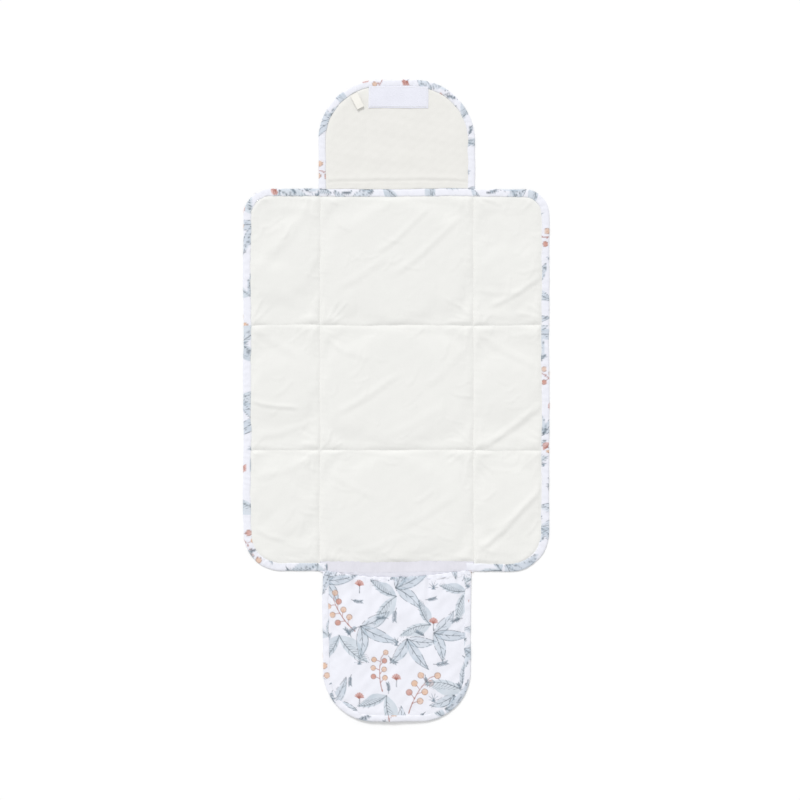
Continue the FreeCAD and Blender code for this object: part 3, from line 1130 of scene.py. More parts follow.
@dataclass
class QuiltedMat:
    """Nine wadded panels, their backing, the strips round the row folds and the bias binding."""

    room: Workroom
    quilt: SettledQuilt
    cover_step: float = 2.2
    backing_step: float = 1.9
    loft: float = 1.9
    margin: float = 1.9
    rim_inset: float = 1.5
    tuck: float = 7.0
    side_fold: float = 6.6
    upper_fold: float = 26.0
    lower_fold: float = 13.4
    upper_strip: float = 33.0
    lower_strip: float = 17.0
    # soft folds pressed in while the pad was packed: x and y of both ends, width, height
    creases: tuple[tuple[float, ...], ...] = (
        (121, -76, 238, -6, 6, 1.9), (122, -240, 238, -134, 6, 2.0), (140, 146, 236, 194, 5, 1.3),
        (124, 176, 204, 164, 5, 0.7), (122, 110, 226, 44, 7, 0.9), (-230, 200, -128, 304, 11, 1.4),
        (-232, 2, -150, -16, 4, 1.5), (-226, -56, -126, -38, 7, 1.0), (-224, -196, -172, -226, 5, 1.1),
        (-226, -120, -124, -94, 7, 0.8), (-230, 120, -150, 60, 8, 0.9), (-36, 228, 60, 304, 5, 0.9),
        (-14, 190, 116, 296, 6, 1.0), (-96, 176, -6, 226, 7, 0.6), (-100, -22, 14, 42, 6, 0.9),
        (-112, 96, -40, 60, 6, 0.6), (-30, -60, 90, -10, 8, 0.5), (-104, -110, -30, -160, 6, 0.6),
        (0, -200, 100, -150, 7, 0.6), (-70, -236, 20, -214, 6, 0.6), (40, 20, 112, 80, 7, 0.6),
    )
    # the folded tape's outline: distance in from the rim, height
    section: tuple[tuple[float, float], ...] = (
        (12.0, 1.6), (11.9, 2.3), (11.2, 2.75), (9.0, 2.85), (6.0, 2.8), (3.2, 2.6), (1.4, 2.2),
        (0.4, 1.6), (0.1, 1.1), (0.5, 0.5), (1.8, 0.12), (5.0, 0.04), (9.0, 0.04), (12.0, 0.04),
    )

    def surface(self, row: Row, column: Column) -> Callable[[Array, Array], Array]:
        """The height of one panel's cover.

        Args:
            row: The panel's row.
            column: The panel's column.

        Returns:
            A function of places in plan, all in millimetres.
        """
        p = self.room.plan
        y0, y1 = p.row_span(row)

        def height(x: Array, y: Array) -> Array:
            """The cover's height at each place.

            Args:
                x: Across the pad, in millimetres.
                y: Along the pad, in millimetres.

            Returns:
                Heights in millimetres.
            """
            side = abs(abs(x) - p.x_seam)
            if column is not Column.CENTRE:
                side = np.minimum(side, p.mat_half(y, p.binding) - abs(x))
            low = y - y0
            if row is Row.BOTTOM:
                low = low - (p.bare_margin if column is Column.CENTRE else p.binding)
            high = y1 - y - (p.binding if row is Row.TOP else 0.0)
            edge = np.minimum(side, np.minimum(low, high))
            inside = np.clip(edge, 0, None)
            z = self.margin + self.loft * (1 - np.exp(-inside / 4.2))
            pucker = waves(x, y, 9.0, 40) * 0.4 * np.exp(-inside / 9.0)
            pucker = pucker + waves(x, y, 17.0, 41) * 0.1
            for ax, ay, bx, by, width, rise in [*self.creases, *self.crinkles(row, column)]:
                pucker = pucker + fold_ridge(x, y, (ax, ay), (bx, by), width, rise)
            z = z + (pucker + 0.4 * self.quilt.at(x, y)) * smooth((inside + 0.8) / 6.0)
            return z + 0.12 * waves(x, y, 8.0, 43) * (inside < 0.1)

        return height

    def crinkles(self, row: Row, column: Column) -> list[tuple[float, ...]]:
        """Small folds that start at a panel's quilting lines, most of them at its crossings.

        Args:
            row: The panel's row.
            column: The panel's column.

        Returns:
            Each fold's ends, width and height in millimetres.
        """
        rng = np.random.default_rng(500 + 10 * list(Row).index(row) + list(Column).index(column))
        (x0, x1), (y0, y1) = self.room.plan.column_span(column), self.room.plan.row_span(row)
        folds = []
        for cx, cy in ((x0, y0), (x0, y1), (x1, y0), (x1, y1)):
            inward = math.atan2((y0 + y1) / 2 - cy, (x0 + x1) / 2 - cx)
            for n in range(4):
                angle = inward + (n - 1.5) * 0.36 + rng.uniform(-0.1, 0.1)
                length = rng.uniform(22, 62)
                folds.append((cx + 3 * math.cos(angle), cy + 3 * math.sin(angle),
                              cx + length * math.cos(angle), cy + length * math.sin(angle),
                              rng.uniform(2.4, 4.2), rng.uniform(0.35, 0.9)))
        for _ in range(36 if column is Column.CENTRE else 20):
            x, y = rng.uniform(x0 + 8, x1 - 8), rng.uniform(y0 + 8, y1 - 8)
            angle = rng.choice([0.5, -0.4, 1.2]) + rng.uniform(-0.4, 0.4)
            length = rng.uniform(14, 48)
            folds.append((x, y, x + length * math.cos(angle), y + length * math.sin(angle),
                          rng.uniform(1.8, 4.4), rng.uniform(0.15, 0.55)))
        return folds

    def span(self, row: Row, inset: float) -> tuple[float, float]:
        """Where a row's cloth starts and ends along Y, inset from the rim but not from the folds.

        Args:
            row: The panel's row.
            inset: How far in from the rim, in millimetres.

        Returns:
            Its start and its end, in millimetres.
        """
        y0, y1 = self.room.plan.row_span(row)
        low = inset if row is Row.BOTTOM else 0.0
        high = inset if row is Row.TOP else 0.0
        return y0 + low, y1 - high

    def bounds_at(self, column: Column, y: Array, inset: float) -> tuple[Array, Array]:
        """A column's left and right limit at y, taken in at the rim.

        Args:
            column: The panel's column.
            y: Along the pad, in millimetres.
            inset: How far in from the rim, in millimetres.

        Returns:
            Both limits along X, in millimetres.
        """
        p = self.room.plan
        rim = p.mat_half(y, inset)
        seam = np.full_like(rim, p.x_seam)
        return {
            Column.LEFT: (-rim, -seam), Column.CENTRE: (-seam, seam), Column.RIGHT: (seam, rim),
        }[column]

    def join(self, piece: bpy.types.Object, row: Row, column: Column) -> None:
        """Makes the top centre panel's cloth ride on its body, and bakes every other panel's cloth in
        place.

        Args:
            piece: The piece.
            row: The panel's row.
            column: The panel's column.
        """
        body = f"{row.value}_{column.value}"
        if column is not Column.CENTRE:
            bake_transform(piece)
        elif row is Row.TOP:
            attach(piece, body)
        else:
            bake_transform(piece)

    def cover(self, row: Row, column: Column) -> None:
        """Builds one panel's puckered cover over its wadding.

        Args:
            row: The panel's row.
            column: The panel's column.
        """
        name = f"{row.value}_{column.value}"
        y0, y1 = self.span(row, self.rim_inset)
        if (row, column) == (Row.BOTTOM, Column.CENTRE):
            y0 = self.room.plan.y_bottom + self.room.plan.bare_margin
        height = self.surface(row, column)

        def place(u: Array, v: Array) -> tuple[Array, Array, Array]:
            """The cover's points.

            Args:
                u: Across the piece, 0 to 1.
                v: Along the piece, 0 to 1.

            Returns:
                The points' x, y and z, in millimetres.
            """
            y = y0 + v * (y1 - y0)
            left, right = self.bounds_at(column, y, self.rim_inset)
            x = left + u * (right - left)
            return x, y, height(x, y)

        x0, x1 = self.room.plan.column_span(column)
        piece = cloth_piece(
            f"quilted_cover_{name}", round((x1 - x0) / self.cover_step),
            round((y1 - y0) / self.cover_step), place, 0.6,
        )
        self.room.dress(piece, QUILT, "ivory_quilt_cotton")
        self.join(piece, row, column)
        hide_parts(f"cover_{name}", f"wadding_{name}")

    def backing(self, row: Row, column: Column) -> None:
        """Builds one panel's printed backing.

        Args:
            row: The panel's row.
            column: The panel's column.
        """
        name = f"{row.value}_{column.value}"
        p = self.room.plan
        y0, y1 = self.span(row, p.binding - 1)
        if (row, column) == (Row.BOTTOM, Column.CENTRE):
            y0 = p.y_bottom

        def place(u: Array, v: Array) -> tuple[Array, Array, Array]:
            """The backing's upper points; its lower face shows from beneath.

            Args:
                u: Across the piece, 0 to 1.
                v: Along the piece, 0 to 1.

            Returns:
                The points' x, y and z, in millimetres.
            """
            y = y0 + v * (y1 - y0)
            left, right = self.bounds_at(column, y, p.binding - 1)
            return left + u * (right - left), y, np.full(len(u), 0.6)

        x0, x1 = p.column_span(column)
        piece = cloth_piece(
            f"printed_backing_{name}", round((x1 - x0) / self.backing_step),
            round((y1 - y0) / self.backing_step), place, 0.2,
        )
        self.room.print_flat(piece, (60.0, 40.0), flip=True)
        self.room.dress(piece, PRINTED, "printed_cotton")
        self.room.cut(piece, "stretched", f"wadding_{name}")
        self.join(piece, row, column)
        nodes = [f"backing_{name}"]
        if column is Column.CENTRE and row is not Row.TOP:
            nodes.append("upper_fold_strip_centre" if row is Row.MIDDLE else "lower_fold_strip_centre")
        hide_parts(*nodes)

    def fold_strip(self, fold: str, column: Column) -> None:
        """Builds the flat backing strip across a row fold in a side column.

        Args:
            fold: upper or lower.
            column: The panel's column.
        """
        node = f"{fold}_fold_strip_{column.value}"
        p = self.room.plan
        middle, reach = {
            "upper": (p.y_upper, self.upper_strip), "lower": (p.y_lower, self.lower_strip),
        }[fold]
        side = 1 if column is Column.RIGHT else -1
        inner, outer = side * p.x_seam, side * (p.x_edge - p.binding + 1)

        def place(u: Array, v: Array) -> tuple[Array, Array, Array]:
            """The strip's upper points."""
            return inner + u * (outer - inner), middle + (v - 0.5) * reach, np.full(len(u), 0.15)

        piece = cloth_piece(
            f"printed_{node}", round(abs(outer - inner) / self.backing_step),
            round(reach / self.backing_step), place, 0.0,
        )
        self.room.print_flat(piece, (60.0, 40.0), flip=True)
        self.room.dress(piece, PRINTED, "printed_cotton")
        self.room.cut(piece, "stretched", f"backing_middle_{column.value}")
        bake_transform(piece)
        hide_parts(node)

    def binding_path(self, row: Row, column: Column) -> tuple[Array, Array]:
        """The rim that one length of binding covers.

        Args:
            row: The row it belongs to.
            column: The column it belongs to.

        Returns:
            Its points and outward normals, counter-clockwise round the mat.
        """
        p = self.room.plan
        y0, y1 = p.row_span(row)
        radius = p.mat_top_r if row is Row.TOP else p.mat_bottom_r
        if column is Column.CENTRE:
            corners = [(p.x_seam, y1), (-p.x_seam, y1)]
        else:
            x = -p.x_edge
            corners = {
                Row.TOP: [(-p.x_seam, y1), (x, y1), (x, y0)],
                Row.MIDDLE: [(x, y1), (x, y0)],
                Row.BOTTOM: [(x, y1), (x, y0), (-p.pouch_half + self.tuck, y0)],
            }[row]
        if column is Column.RIGHT:
            corners = [(-cx, cy) for cx, cy in reversed(corners)]
        return rounded_path(corners, radius, 1.3)

    def binding(self, row: Row, column: Column, seed: int) -> None:
        """Builds one length of bias binding and the stitches along its inner edge.

        Args:
            row: The panel's row.
            column: The panel's column.
            seed: Keeps its wander its own.
        """
        name = f"{row.value}_{column.value}"
        path, outward = self.binding_path(row, column)
        piece = tape_piece(f"bias_binding_{name}", path, outward, list(self.section), 0.5, seed)
        self.room.print_tape(piece, seed * 37.0)
        self.room.dress(piece, PRINTED, "printed_bias_binding")
        self.join(piece, row, column)
        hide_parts(f"binding_{name}")
        inner = path - outward * (self.room.plan.binding - 1.3)
        stitches = stitch_line(f"binding_stitches_{name}", inner, lambda x, y: np.full(len(x), 2.8))
        self.room.dress(stitches, THREAD, "printed_bias_binding")
        self.join(stitches, row, column)

    def quilting(self, row: Row, column: Column) -> None:
        """Sews the panel's quilting lines: one at its lower edge and, in the middle, both sides.

        Args:
            row: The panel's row.
            column: The panel's column.
        """
        p = self.room.plan
        name = f"{row.value}_{column.value}"
        y0, y1 = self.span(row, p.binding)
        lines = []
        if column is Column.CENTRE:
            lines += [((-p.x_seam, y0), (-p.x_seam, y1)), ((p.x_seam, y0), (p.x_seam, y1))]
        if row is not Row.BOTTOM:
            x0, x1 = p.column_span(column)
            x0 = max(x0, -p.x_edge + p.binding)
            x1 = min(x1, p.x_edge - p.binding)
            lines.append(((x0, y0), (x1, y0)))
        for n, ends in enumerate(lines):
            path = np.array(ends)
            stitches = stitch_line(f"quilting_{name}_{n}", path, lambda x, y: np.full(len(x), 2.0))
            self.room.dress(stitches, THREAD, "ivory_quilt_cotton")
            self.join(stitches, row, column)

    def facing(self) -> None:
        """Builds the flat lavender facing between the mat's last panel and the pouch's mouth."""
        p = self.room.plan
        top = p.y_bottom + p.bare_margin + 1.5

        def place(u: Array, v: Array) -> tuple[Array, Array, Array]:
            """The facing's points, softly rippled by the gathers beyond it.

            Args:
                u: Across the piece, 0 to 1.
                v: Along the piece, 0 to 1.

            Returns:
                The points' x, y and z, in millimetres.
            """
            x = (2 * u - 1) * (p.x_seam - 0.8)
            y = p.y_bottom - 1.5 + v * (top - p.y_bottom + 1.5)
            return x, y, 1.5 + 0.5 * v + 0.35 * waves(x, y * 0.4, 11.0, 71)

        piece = cloth_piece("mouth_facing", 160, 9, place, 0.7)
        # the facing's finish is the lining cloth with a painted-light tone of its own
        self.room.dress(piece, FACING, "lavender_lining")
        self.room.cut(piece, "stretched", "backing_bottom_centre", 1.05)
        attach(piece, "bottom_centre")

    def loop_tape(self) -> None:
        """Builds the loop tape let into the middle panel's back."""
        low, high = node_span("loop_tape")

        def place(u: Array, v: Array) -> tuple[Array, Array, Array]:
            """The tape's upper points."""
            return low[0] + u * (high[0] - low[0]), low[1] + v * (high[1] - low[1]), np.full(len(u), 0.5)

        piece = cloth_piece("loop_tape_brushed", 55, 22, place, 0.0)
        bevel = piece.modifiers.new("soft_edge", "BEVEL")
        bevel.width = 0.15 * MM
        self.room.dress(piece, LOOPS, "loop_tape")
        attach(piece, "middle_centre")
        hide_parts("loop_tape")

    def build(self) -> None:
        """Builds the whole mat."""
        for row in Row:
            for column in Column:
                self.cover(row, column)
                self.backing(row, column)
                self.quilting(row, column)
                log.info("panel %s %s", row.value, column.value)
        lengths = [(row, column) for row in Row for column in (Column.LEFT, Column.RIGHT)]
        for seed, (row, column) in enumerate([*lengths, (Row.TOP, Column.CENTRE)]):
            self.binding(row, column, seed + 3)
        for fold in ("upper", "lower"):
            for column in (Column.LEFT, Column.RIGHT):
                self.fold_strip(fold, column)
        self.facing()
        self.loop_tape()


def fold_ridge(x: Array, y: Array, start: tuple[float, float], end: tuple[float, float],
               width: float, rise: float) -> Array:
    """The height of one soft fold, steeper on one side and fading at its ends.

    Args:
        x: Places along X in millimetres.
        y: Places along Y in millimetres.
        start: One end.
        end: The other end.
        width: Half its width.
        rise: Its height.

    Returns:
        The height at each place.
    """
    dx, dy = end[0] - start[0], end[1] - start[1]
    length = math.hypot(dx, dy)
    along = ((x - start[0]) * dx + (y - start[1]) * dy) / length**2
    away = ((x - start[0]) * -dy + (y - start[1]) * dx) / length
    away = away + 3.0 * np.sin(along * 5.0)
    shape = np.exp(-((away / width) ** 2)) - 0.5 * np.exp(-(((away + 0.8 * width) / width) ** 2))
    return rise * shape * smooth(along / 0.2) * smooth((1 - along) / 0.2)


# ---------------------------------------------------------------- the flap


@dataclass
class Flap:
    """The arched closing flap with its binding, hook tape and blank care label."""

    room: Workroom
    step: float = 2.0
    backing_step: float = 1.7
    loft: float = 1.5
    margin: float = 1.1
    fold_reach: float = 28.8
    crease_offset: float = 13.0
    tape_shift: tuple[float, float] = (3.2, 2.6)
    label_width: float = 11.5
    label_keep: float = 0.88
    label_turn: float = 26.0
    section: tuple[tuple[float, float], ...] = (
        (11.0, 0.9), (10.9, 1.7), (10.2, 2.3), (8.2, 2.6), (5.6, 2.7), (3.0, 2.5), (1.3, 2.2),
        (0.4, 1.6), (0.1, 1.0), (0.5, 0.4), (1.8, 0.1), (5.0, 0.04), (8.0, 0.04), (11.0, 0.04),
    )

    def height(self, x: Array, y: Array) -> Array:
        """The lining's height at places in plan, in millimetres.

        Args:
            x: Across the pad, in millimetres.
            y: Along the pad, in millimetres.

        Returns:
            Heights in millimetres.
        """
        p = self.room.plan
        base = y - p.y_top
        edge = np.minimum(p.flap_half_at(y, 11.0) - abs(x), p.y_flap_end - 11.0 - y)
        inside = np.clip(np.minimum(edge, base + 3.0), 0, None)
        z = self.margin + self.loft * (1 - np.exp(-inside / 4.0))
        soft = 0.22 * waves(x, y, 48.0, 81) + 0.16 * waves(x, y, 15.0, 82)
        pulled = 0.35 * np.sin(x / 4.1 + 2 * waves(x, y * 0.2, 40.0, 83)) * np.exp(-base / 16.0)
        bow = base - self.crease_offset + 4.0 * (x / p.flap_half) ** 2
        crease = -0.75 * np.exp(-((bow / 2.2) ** 2)) + 0.5 * np.exp(-(((bow - 5) / 4.0) ** 2))
        crease = crease - 0.35 * np.exp(-(((bow + 6) / 1.8) ** 2))
        folds = fold_ridge(x, y, (-100, 390), (60, 372), 12, 0.5)
        folds = folds + fold_ridge(x, y, (-40, 440), (104, 400), 14, 0.45)
        return z + (soft + pulled + crease + folds) * smooth(inside / 6.0)

    def ride(self, piece: bpy.types.Object) -> None:
        """Bakes a piece's transform into its mesh."""
        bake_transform(piece)

    def lining(self) -> None:
        """Builds the padded lining."""
        p = self.room.plan

        def place(u: Array, v: Array) -> tuple[Array, Array, Array]:
            """The lining's points.

            Args:
                u: Across the piece, 0 to 1.
                v: Along the piece, 0 to 1.

            Returns:
                The points' x, y and z, in millimetres.
            """
            y = p.y_top + v * (p.y_flap_end - 1.5 - p.y_top)
            x = (2 * u - 1) * p.flap_half_at(y, 1.5)
            return x, y, self.height(x, y)

        piece = cloth_piece("flap_lining_padded", round(2 * p.flap_half / self.step),
                            round((p.y_flap_end - p.y_top) / self.step), place, 0.6)
        # the lining's finish is the quilt cloth with painted shade in its colour: a touch darker and warmer
        self.room.dress(piece, FLAP_LINING, "ivory_flap_lining")
        self.ride(piece)
        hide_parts("flap_lining", "flap_wadding")

    def outer(self) -> None:
        """Builds the printed cloth on the flap's underside."""
        p = self.room.plan

        def place(u: Array, v: Array) -> tuple[Array, Array, Array]:
            """The cloth's upper points; its lower face shows from beneath."""
            y = p.y_top + v * (p.y_flap_end - 10.0 - p.y_top)
            return (2 * u - 1) * p.flap_half_at(y, 10.0), y, np.full(len(u), 0.6)

        piece = cloth_piece("flap_outer_printed", round(2 * p.flap_half / self.backing_step),
                            round((p.y_flap_end - p.y_top) / self.backing_step), place, 0.1)
        self.room.print_flat(piece, (20.0, 150.0), flip=True)
        self.room.dress(piece, PRINTED, "printed_cotton")
        self.room.cut(piece, "stretched", "flap_wadding")
        self.ride(piece)
        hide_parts("flap_outer")

    def binding(self) -> None:
        """Builds the binding round the arch and its stitches."""
        p = self.room.plan
        corners = [(p.flap_half, p.y_top), (p.flap_half, p.y_flap_end),
                   (-p.flap_half, p.y_flap_end), (-p.flap_half, p.y_top)]
        path, outward = rounded_path(corners, p.flap_r, 1.3)
        piece = tape_piece("flap_bias_binding", path, outward, list(self.section), 0.5, 23)
        self.room.print_tape(piece, 91.0)
        self.room.dress(piece, PRINTED, "printed_bias_binding")
        self.ride(piece)
        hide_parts("flap_binding")
        stitches = stitch_line("flap_binding_stitches", path - outward * 9.8,
                               lambda x, y: np.full(len(x), 2.35))
        self.room.dress(stitches, THREAD, "printed_bias_binding")
        self.ride(stitches)

    def hook_tape(self) -> None:
        """Builds the hook tape with its stitched border."""
        low, high = node_span("hook_tape")
        low, high = low + [*self.tape_shift, 0], high + [*self.tape_shift, 0]
        x0, x1 = low[0], high[0]

        def place(u: Array, v: Array) -> tuple[Array, Array, Array]:
            """The tape's upper points: stiff, slightly bowed, thinner at its selvedges.

            Args:
                u: Across the piece, 0 to 1.
                v: Along the piece, 0 to 1.

            Returns:
                The points' x, y and z, in millimetres.
            """
            x, y = x0 + u * (x1 - x0), low[1] + v * (high[1] - low[1])
            selvedge = np.minimum(np.minimum(x - x0, x1 - x), np.minimum(y - low[1], high[1] - y))
            return x, y, 3.35 + 0.45 * smooth(selvedge / 2.4) + 0.25 * waves(x, y, 70.0, 91)

        piece = cloth_piece("hook_tape_woven", 93, 34, place, 2.3)
        self.room.dress(piece, HOOKS, "hook_tape")
        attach(piece, "flap")
        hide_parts("hook_tape")
        inset = 2.2
        ring = np.array([(x0 + inset, low[1] + inset), (x1 - inset, low[1] + inset),
                         (x1 - inset, high[1] - inset), (x0 + inset, high[1] - inset),
                         (x0 + inset, low[1] + inset)])
        stitches = stitch_line("hook_tape_stitches", ring, lambda x, y: np.full(len(x), 3.95), 3.4)
        self.room.dress(stitches, THREAD, "hook_tape")
        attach(stitches, "flap")

    def label(self) -> None:
        """Builds the blank folded care label, which lifts off the cloth towards its free end."""
        low, high = node_span("care_label")
        middle = (low + high) / 2
        turn = math.radians(self.label_turn)
        length = (high[1] - low[1] - self.label_width * math.sin(turn)) / math.cos(turn) * self.label_keep

        def layer(gap: float) -> Place:
            """The points of one of the ribbon's two layers, gap above the other."""
            def place(u: Array, v: Array) -> tuple[Array, Array, Array]:
                """The layer's points.

                Args:
                    u: Across the piece, 0 to 1.
                    v: Along the piece, 0 to 1.

                Returns:
                    The points' x, y and z, in millimetres.
                """
                s, t = (u - 0.5) * self.label_width, (v - 0.5) * length
                free = 1 - v
                x = middle[0] + s * math.cos(turn) - t * math.sin(turn)
                y = middle[1] + s * math.sin(turn) + t * math.cos(turn)
                z = 3.0 + 3.2 * free**1.6 + gap * np.sin(np.pi * np.clip(free, 0, 1)) + 0.3 * (u - 0.5) ** 2
                return x, y, z
            return place

        for name, gap in (("care_label_under", 0.0), ("care_label_over", 1.0)):
            piece = cloth_piece(name, 14, 30, layer(gap), 0.0)
            points = vertices(piece.data)
            half = len(points) // 2
            points[:half, 2] = points[half:, 2] - 0.25 * MM
            piece.data.vertices.foreach_set("co", points.ravel())
            self.room.dress(piece, LABEL, "label_tape")
            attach(piece, "flap")
            if gap:
                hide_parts("care_label")

    def build(self) -> None:
        """Builds the whole flap."""
        for make in (self.lining, self.outer, self.binding, self.hook_tape, self.label):
            make()
            log.info("flap: %s", make.__name__)


# ---------------------------------------------------------------- the pouch


@dataclass
class Pouch:
    """The gathered pouch: back, lining, puffed front, elastic hem and binding."""

    room: Workroom
    front_step: float = 1.06
    plain_step: float = 2.2
    back_step: float = 1.7
    hem_width: float = 9.0
    mouth_inset: float = 1.0
    keep: float = 0.84
    section: tuple[tuple[float, float], ...] = (
        (10.0, 2.6), (9.9, 3.3), (9.2, 3.75), (7.4, 3.85), (5.2, 3.8), (3.0, 3.5), (1.2, 3.0),
        (0.3, 2.3), (0.05, 1.6), (0.4, 0.8), (1.6, 0.3), (4.2, 0.06), (7.0, 0.04), (10.0, 0.04),
    )

    def mouth(self, x: Array) -> Array:
        """Where the mouth's edge lies along Y: sagging in its middle, softly scalloped.

        Args:
            x: Across the pad, in millimetres.

        Returns:
            The edge's places along Y, in millimetres.
        """
        p = self.room.plan
        sag = p.mouth_sag * (1 - (x / (p.pouch_half - 8)) ** 2)
        scallop = 0.7 * waves(x, x * 0, 13.0, 101) + 0.35 * waves(x, x * 0, 6.0, 102)
        return p.y_bottom + self.mouth_inset - np.clip(sag, 0, None) + scallop

    def gathers(self, x: Array, below: Array) -> Array:
        """The height of the folds that hang from the elastic.

        Args:
            x: Places across the pouch in millimetres.
            below: Distance below the mouth in millimetres.

        Returns:
            The height of the folds there.
        """
        swing = 1.6 * waves(x, below * 0.5, 60.0, 103) * below / 60
        fine = np.sin((x + swing) / 1.75 + 1.3 * waves(x, x * 0, 50.0, 104))
        broad = np.sin((x + 1.8 * swing) / 4.3 + 1.6 * waves(x, x * 0, 70.0, 105))
        uneven = 0.65 + 0.35 * waves(x, x * 0, 30.0, 106)
        return uneven * (0.9 * fine * np.exp(-below / 15.0) + 1.7 * broad * np.exp(-below / 55.0))

    def front_height(self, x: Array, y: Array) -> Array:
        """The front's height at places in plan, in millimetres.

        Args:
            x: Across the pad, in millimetres.
            y: Along the pad, in millimetres.

        Returns:
            Heights in millimetres.
        """
        p = self.room.plan
        below = np.clip(self.mouth(x) - y, 0, None)
        edge = np.clip(p.pouch_half_at(y, 9.0) - abs(x), 0, None)
        edge = np.minimum(edge, np.clip(y - p.y_pouch_end - 9.0, 0, None))
        puff = 3.6 * (1 - np.exp(-edge / 26.0)) * (0.3 + 0.7 * smooth(below / 70.0))
        slack = 0.8 * waves(x, y, 48.0, 107) + 0.35 * waves(x, y, 19.0, 108)
        tucks = 0.4 * waves(x, y, 9.0, 109) * np.exp(-edge / 10.0)
        slack = slack + fold_ridge(x, y, (-96, -330), (-20, -420), 12, 0.9)
        slack = slack + fold_ridge(x, y, (98, -345), (30, -452), 13, 0.8)
        slack = slack + fold_ridge(x, y, (-70, -470), (60, -440), 14, 0.6)
        return 3.1 + puff + (self.gathers(x, below) + slack + tucks) * smooth(edge / 9.0)

    def lift(self, x: Array, y: Array) -> Array:
        """How far the pouch's round end curls up off the floor, in millimetres."""
        end = smooth((self.room.plan.y_pouch_end + 55 - y) / 55)
        return 3.6 * end * np.exp(-(((x + 12) / 62) ** 2))

    def raised(self, piece: bpy.types.Object) -> bpy.types.Object:
        """Curls a finished layer up with the rest of the pouch.

        Args:
            piece: The piece.

        Returns:
            The same piece.
        """
        points = vertices(piece.data) / MM
        points[:, 2] += self.lift(points[:, 0], points[:, 1])
        piece.data.vertices.foreach_set("co", (points * MM).ravel())
        return piece

    def tie(self, piece: bpy.types.Object) -> None:
        """Makes a piece ride on the pouch, with a mesh of its own."""
        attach(piece, "pouch")
        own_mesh(piece)

    def front(self) -> None:
        """Builds the printed front, gathered below its hem."""
        p = self.room.plan

        def place(u: Array, v: Array) -> tuple[Array, Array, Array]:
            """The front's points, between the hem and the round end.

            Args:
                u: Across the piece, 0 to 1.
                v: Along the piece, 0 to 1.

            Returns:
                The points' x, y and z, in millimetres.
            """
            level = p.y_bottom - 2 - v * (p.y_bottom - 2 - p.y_pouch_end - 3.0)
            x = (2 * u - 1) * p.pouch_half_at(level, 3.0)
            start = self.mouth(x) - self.hem_width * 0.6
            y = start - v * (start - p.y_pouch_end - 3.0)
            return x, y, self.front_height(x, y)

        piece = cloth_piece("pouch_front_gathered", round(2 * p.pouch_half / self.front_step),
                            round((p.y_bottom - p.y_pouch_end) / self.front_step), place, 0.0)
        points = vertices(piece.data)
        half = len(points) // 2
        points[:half, 2] = points[half:, 2] - 0.5 * MM
        piece.data.vertices.foreach_set("co", points.ravel())
        self.raised(piece)
        self.room.print_flat(piece, (p.pouch_half, p.y_bottom))
        self.room.dress(piece, PRINTED, "printed_cotton")
        self.room.cut(piece, "gathered", "pouch_lining", 1.12)
        self.tie(piece)
        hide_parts("pouch_front")

    def hem(self) -> None:
        """Builds the hem: a flattened tunnel, ruffled by the elastic inside it."""
        p = self.room.plan
        x = np.arange(-p.pouch_half + 4.0, p.pouch_half - 4.0, 1.1)[::-1]
        path = np.column_stack([x, self.mouth(x)])
        outward = np.tile([0.0, 1.0], (len(path), 1))
        section = [(9.0, 3.3), (8.6, 3.75), (7.0, 3.9), (5.0, 3.8), (3.0, 3.75), (1.2, 3.55),
                   (0.2, 3.2), (0.0, 2.9), (0.8, 2.6), (4.0, 2.5), (8.0, 2.6)]
        piece = tape_piece("pouch_hem_gathered", path, outward, section, 0.3, 111)
        points = vertices(piece.data) / MM
        below = np.clip(self.mouth(points[:, 0]) - points[:, 1], 0, None)
        end = smooth((p.pouch_half - 4 - abs(points[:, 0])) / 12)
        points[:, 2] += 0.85 * self.gathers(points[:, 0], below) * end - 1.2 * (1 - end)
        piece.data.vertices.foreach_set("co", (points * MM).ravel())
        self.room.print_flat(piece, (p.pouch_half, p.y_bottom))
        self.room.dress(piece, PRINTED, "printed_cotton")
        self.tie(piece)
        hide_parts("pouch_hem", "pouch_elastic")
        row = np.column_stack([x, self.mouth(x) - self.hem_width + 1.4])

        def height(sx: Array, sy: Array) -> Array:
            """The hem's height under its stitches."""
            return 3.8 + 0.85 * self.gathers(sx, self.mouth(sx) - sy)

        stitches = stitch_line("pouch_hem_stitches", row[8:-8], height, 3.2)
        self.room.dress(stitches, THREAD, "printed_cotton")
        self.tie(stitches)

    def plain(self, name: str, inset: float, under: float, over: float, cloth: Cloth,
              slot: str, step: float, node: str) -> None:
        """Builds a flat layer of the pouch.

        Args:
            name: The piece's name.
            inset: How far it stops short of the rim.
            under: Height of its lower face.
            over: Height of its upper face.
            cloth: Its finish.
            slot: The record's slot.
            step: Size of its faces in millimetres.
            node: The CAD node it stands for.
        """
        p = self.room.plan

        def place(u: Array, v: Array) -> tuple[Array, Array, Array]:
            """The layer's upper points.

            Args:
                u: Across the piece, 0 to 1.
                v: Along the piece, 0 to 1.

            Returns:
                The points' x, y and z, in millimetres.
            """
            y = p.y_bottom - 0.2 - v * (p.y_bottom - 0.2 - p.y_pouch_end - inset)
            x = (2 * u - 1) * p.pouch_half_at(y, inset)
            ripple = 0.3 * waves(x, y * 0.3, 12.0, 121) * (over > 1)
            return x, y, over + ripple

        piece = cloth_piece(name, round(2 * p.pouch_half / step),
                            round((p.y_bottom - p.y_pouch_end) / step), place, under)
        self.raised(piece)
        if cloth.printed:
            self.room.print_flat(piece, (p.pouch_half + 20, 0.0), flip=True)
        self.room.dress(piece, cloth, slot)
        self.room.cut(piece, "laid", "pouch_binding")
        self.tie(piece)
        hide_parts(node)

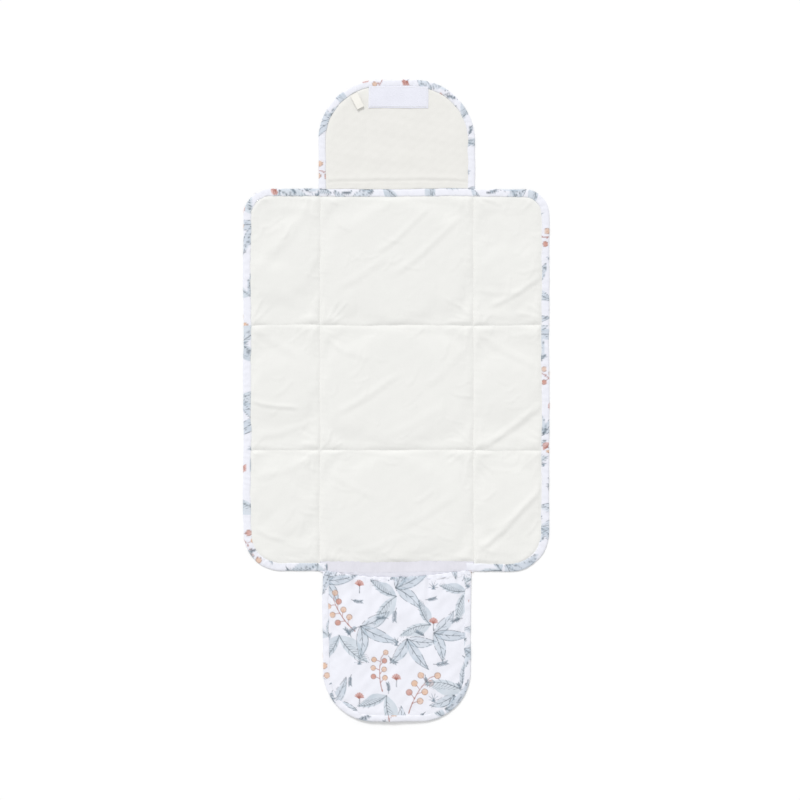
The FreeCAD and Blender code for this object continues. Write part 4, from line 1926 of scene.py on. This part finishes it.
    def binding(self) -> None:
        """Builds the binding down both sides and round the end, with its stitches."""
        p = self.room.plan
        corners = [(-p.pouch_half, p.y_bottom), (-p.pouch_half, p.y_pouch_end),
                   (p.pouch_half, p.y_pouch_end), (p.pouch_half, p.y_bottom)]
        path, outward = rounded_path(corners, p.pouch_r, 1.3)
        piece = self.raised(
            tape_piece("pouch_bias_binding", path, outward, list(self.section), 0.7, 131))
        self.room.print_tape(piece, 17.0)
        self.room.dress(piece, PRINTED, "printed_bias_binding")
        self.tie(piece)
        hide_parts("pouch_binding")
        stitches = stitch_line("pouch_binding_stitches", path - outward * 8.8,
                               lambda x, y: 3.6 + self.lift(x, y))
        self.room.dress(stitches, THREAD, "printed_bias_binding")
        self.tie(stitches)

    def build(self) -> None:
        """Builds the whole pouch."""
        self.plain("pouch_outer_printed", 9.0, 0.1, 0.6, PRINTED, "printed_cotton",
                   self.back_step, "pouch_outer")
        self.plain("pouch_lining_inside", 3.0, 0.7, 1.3, LINING, "lavender_lining",
                   self.plain_step, "pouch_lining")
        for make in (self.front, self.hem, self.binding):
            make()
            log.info("pouch: %s", make.__name__)


# ---------------------------------------------------------------- the studio


@dataclass
class Studio:
    """A pale floor, soft light from beyond the flap and a camera straight above."""

    span: float = 1.256
    lens: float = 85.0
    centre: tuple[float, float] = (0.0055, 0.0008)
    sun: float = 1.62
    sky: float = 0.745

    def build(self) -> None:
        """Lays the floor, lights it and places the camera."""
        scene = bpy.context.scene
        floor_mesh = bpy.data.meshes.new("studio_floor")
        shape = bmesh.new()
        bmesh.ops.create_grid(shape, x_segments=1, y_segments=1, size=12.0)
        bmesh.ops.translate(shape, vec=(0, 0, -0.0002), verts=shape.verts[:])
        shape.to_mesh(floor_mesh)
        shape.free()
        floor = bpy.data.objects.new("studio_floor", floor_mesh)
        scene.collection.objects.link(floor)
        paper = bpy.data.materials.new("paper_sweep_matt_white")
        paper.use_nodes = True
        shader = paper.node_tree.nodes["Principled BSDF"]
        shader.inputs["Base Color"].default_value = (0.93, 0.93, 0.93, 1)
        shader.inputs["Roughness"].default_value = 1.0
        shader.inputs["Specular IOR Level"].default_value = 0.0
        floor_mesh.materials.append(paper)
        floor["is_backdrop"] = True

        world = bpy.data.worlds.new("soft_studio")
        world.use_nodes = True
        background = world.node_tree.nodes["Background"]
        background.inputs["Color"].default_value = (1.0, 1.0, 1.0, 1)
        background.inputs["Strength"].default_value = self.sky
        scene.world = world

        lamp = bpy.data.lights.new("window_beyond_flap", "SUN")
        lamp.energy = self.sun
        lamp.angle = math.radians(16)
        light = bpy.data.objects.new("window_beyond_flap", lamp)
        light.rotation_mode = "QUATERNION"
        light.rotation_quaternion = Vector((-0.35, 1.0, 0.95)).to_track_quat("Z", "Y")
        scene.collection.objects.link(light)

        eye = bpy.data.cameras.new("camera_above")
        eye.lens = self.lens
        eye.sensor_width = 36.0
        camera = bpy.data.objects.new("camera_above", eye)
        camera.location = (*self.centre, self.span * self.lens / eye.sensor_width)
        eye.clip_end = 100.0
        scene.collection.objects.link(camera)
        scene.camera = camera
        scene.view_settings.view_transform = "Standard"
        scene.view_settings.look = "None"


def main() -> None:
    """Builds the pad's looks in order and keeps its size before and after."""
    logging.basicConfig(level=logging.INFO, format="%(name)s: %(message)s")
    sizes: dict[str, list[list[float]]] = {}
    record_size("frame", sizes)
    plan = Plan.from_frame()
    room = Workroom(plan, Artwork())
    QuiltedMat(room, SettledQuilt(plan)).build()
    Flap(room).build()
    Pouch(room).build()
    Studio().build()
    record_size("finished", sizes)


if __name__ == "__main__":
    main()
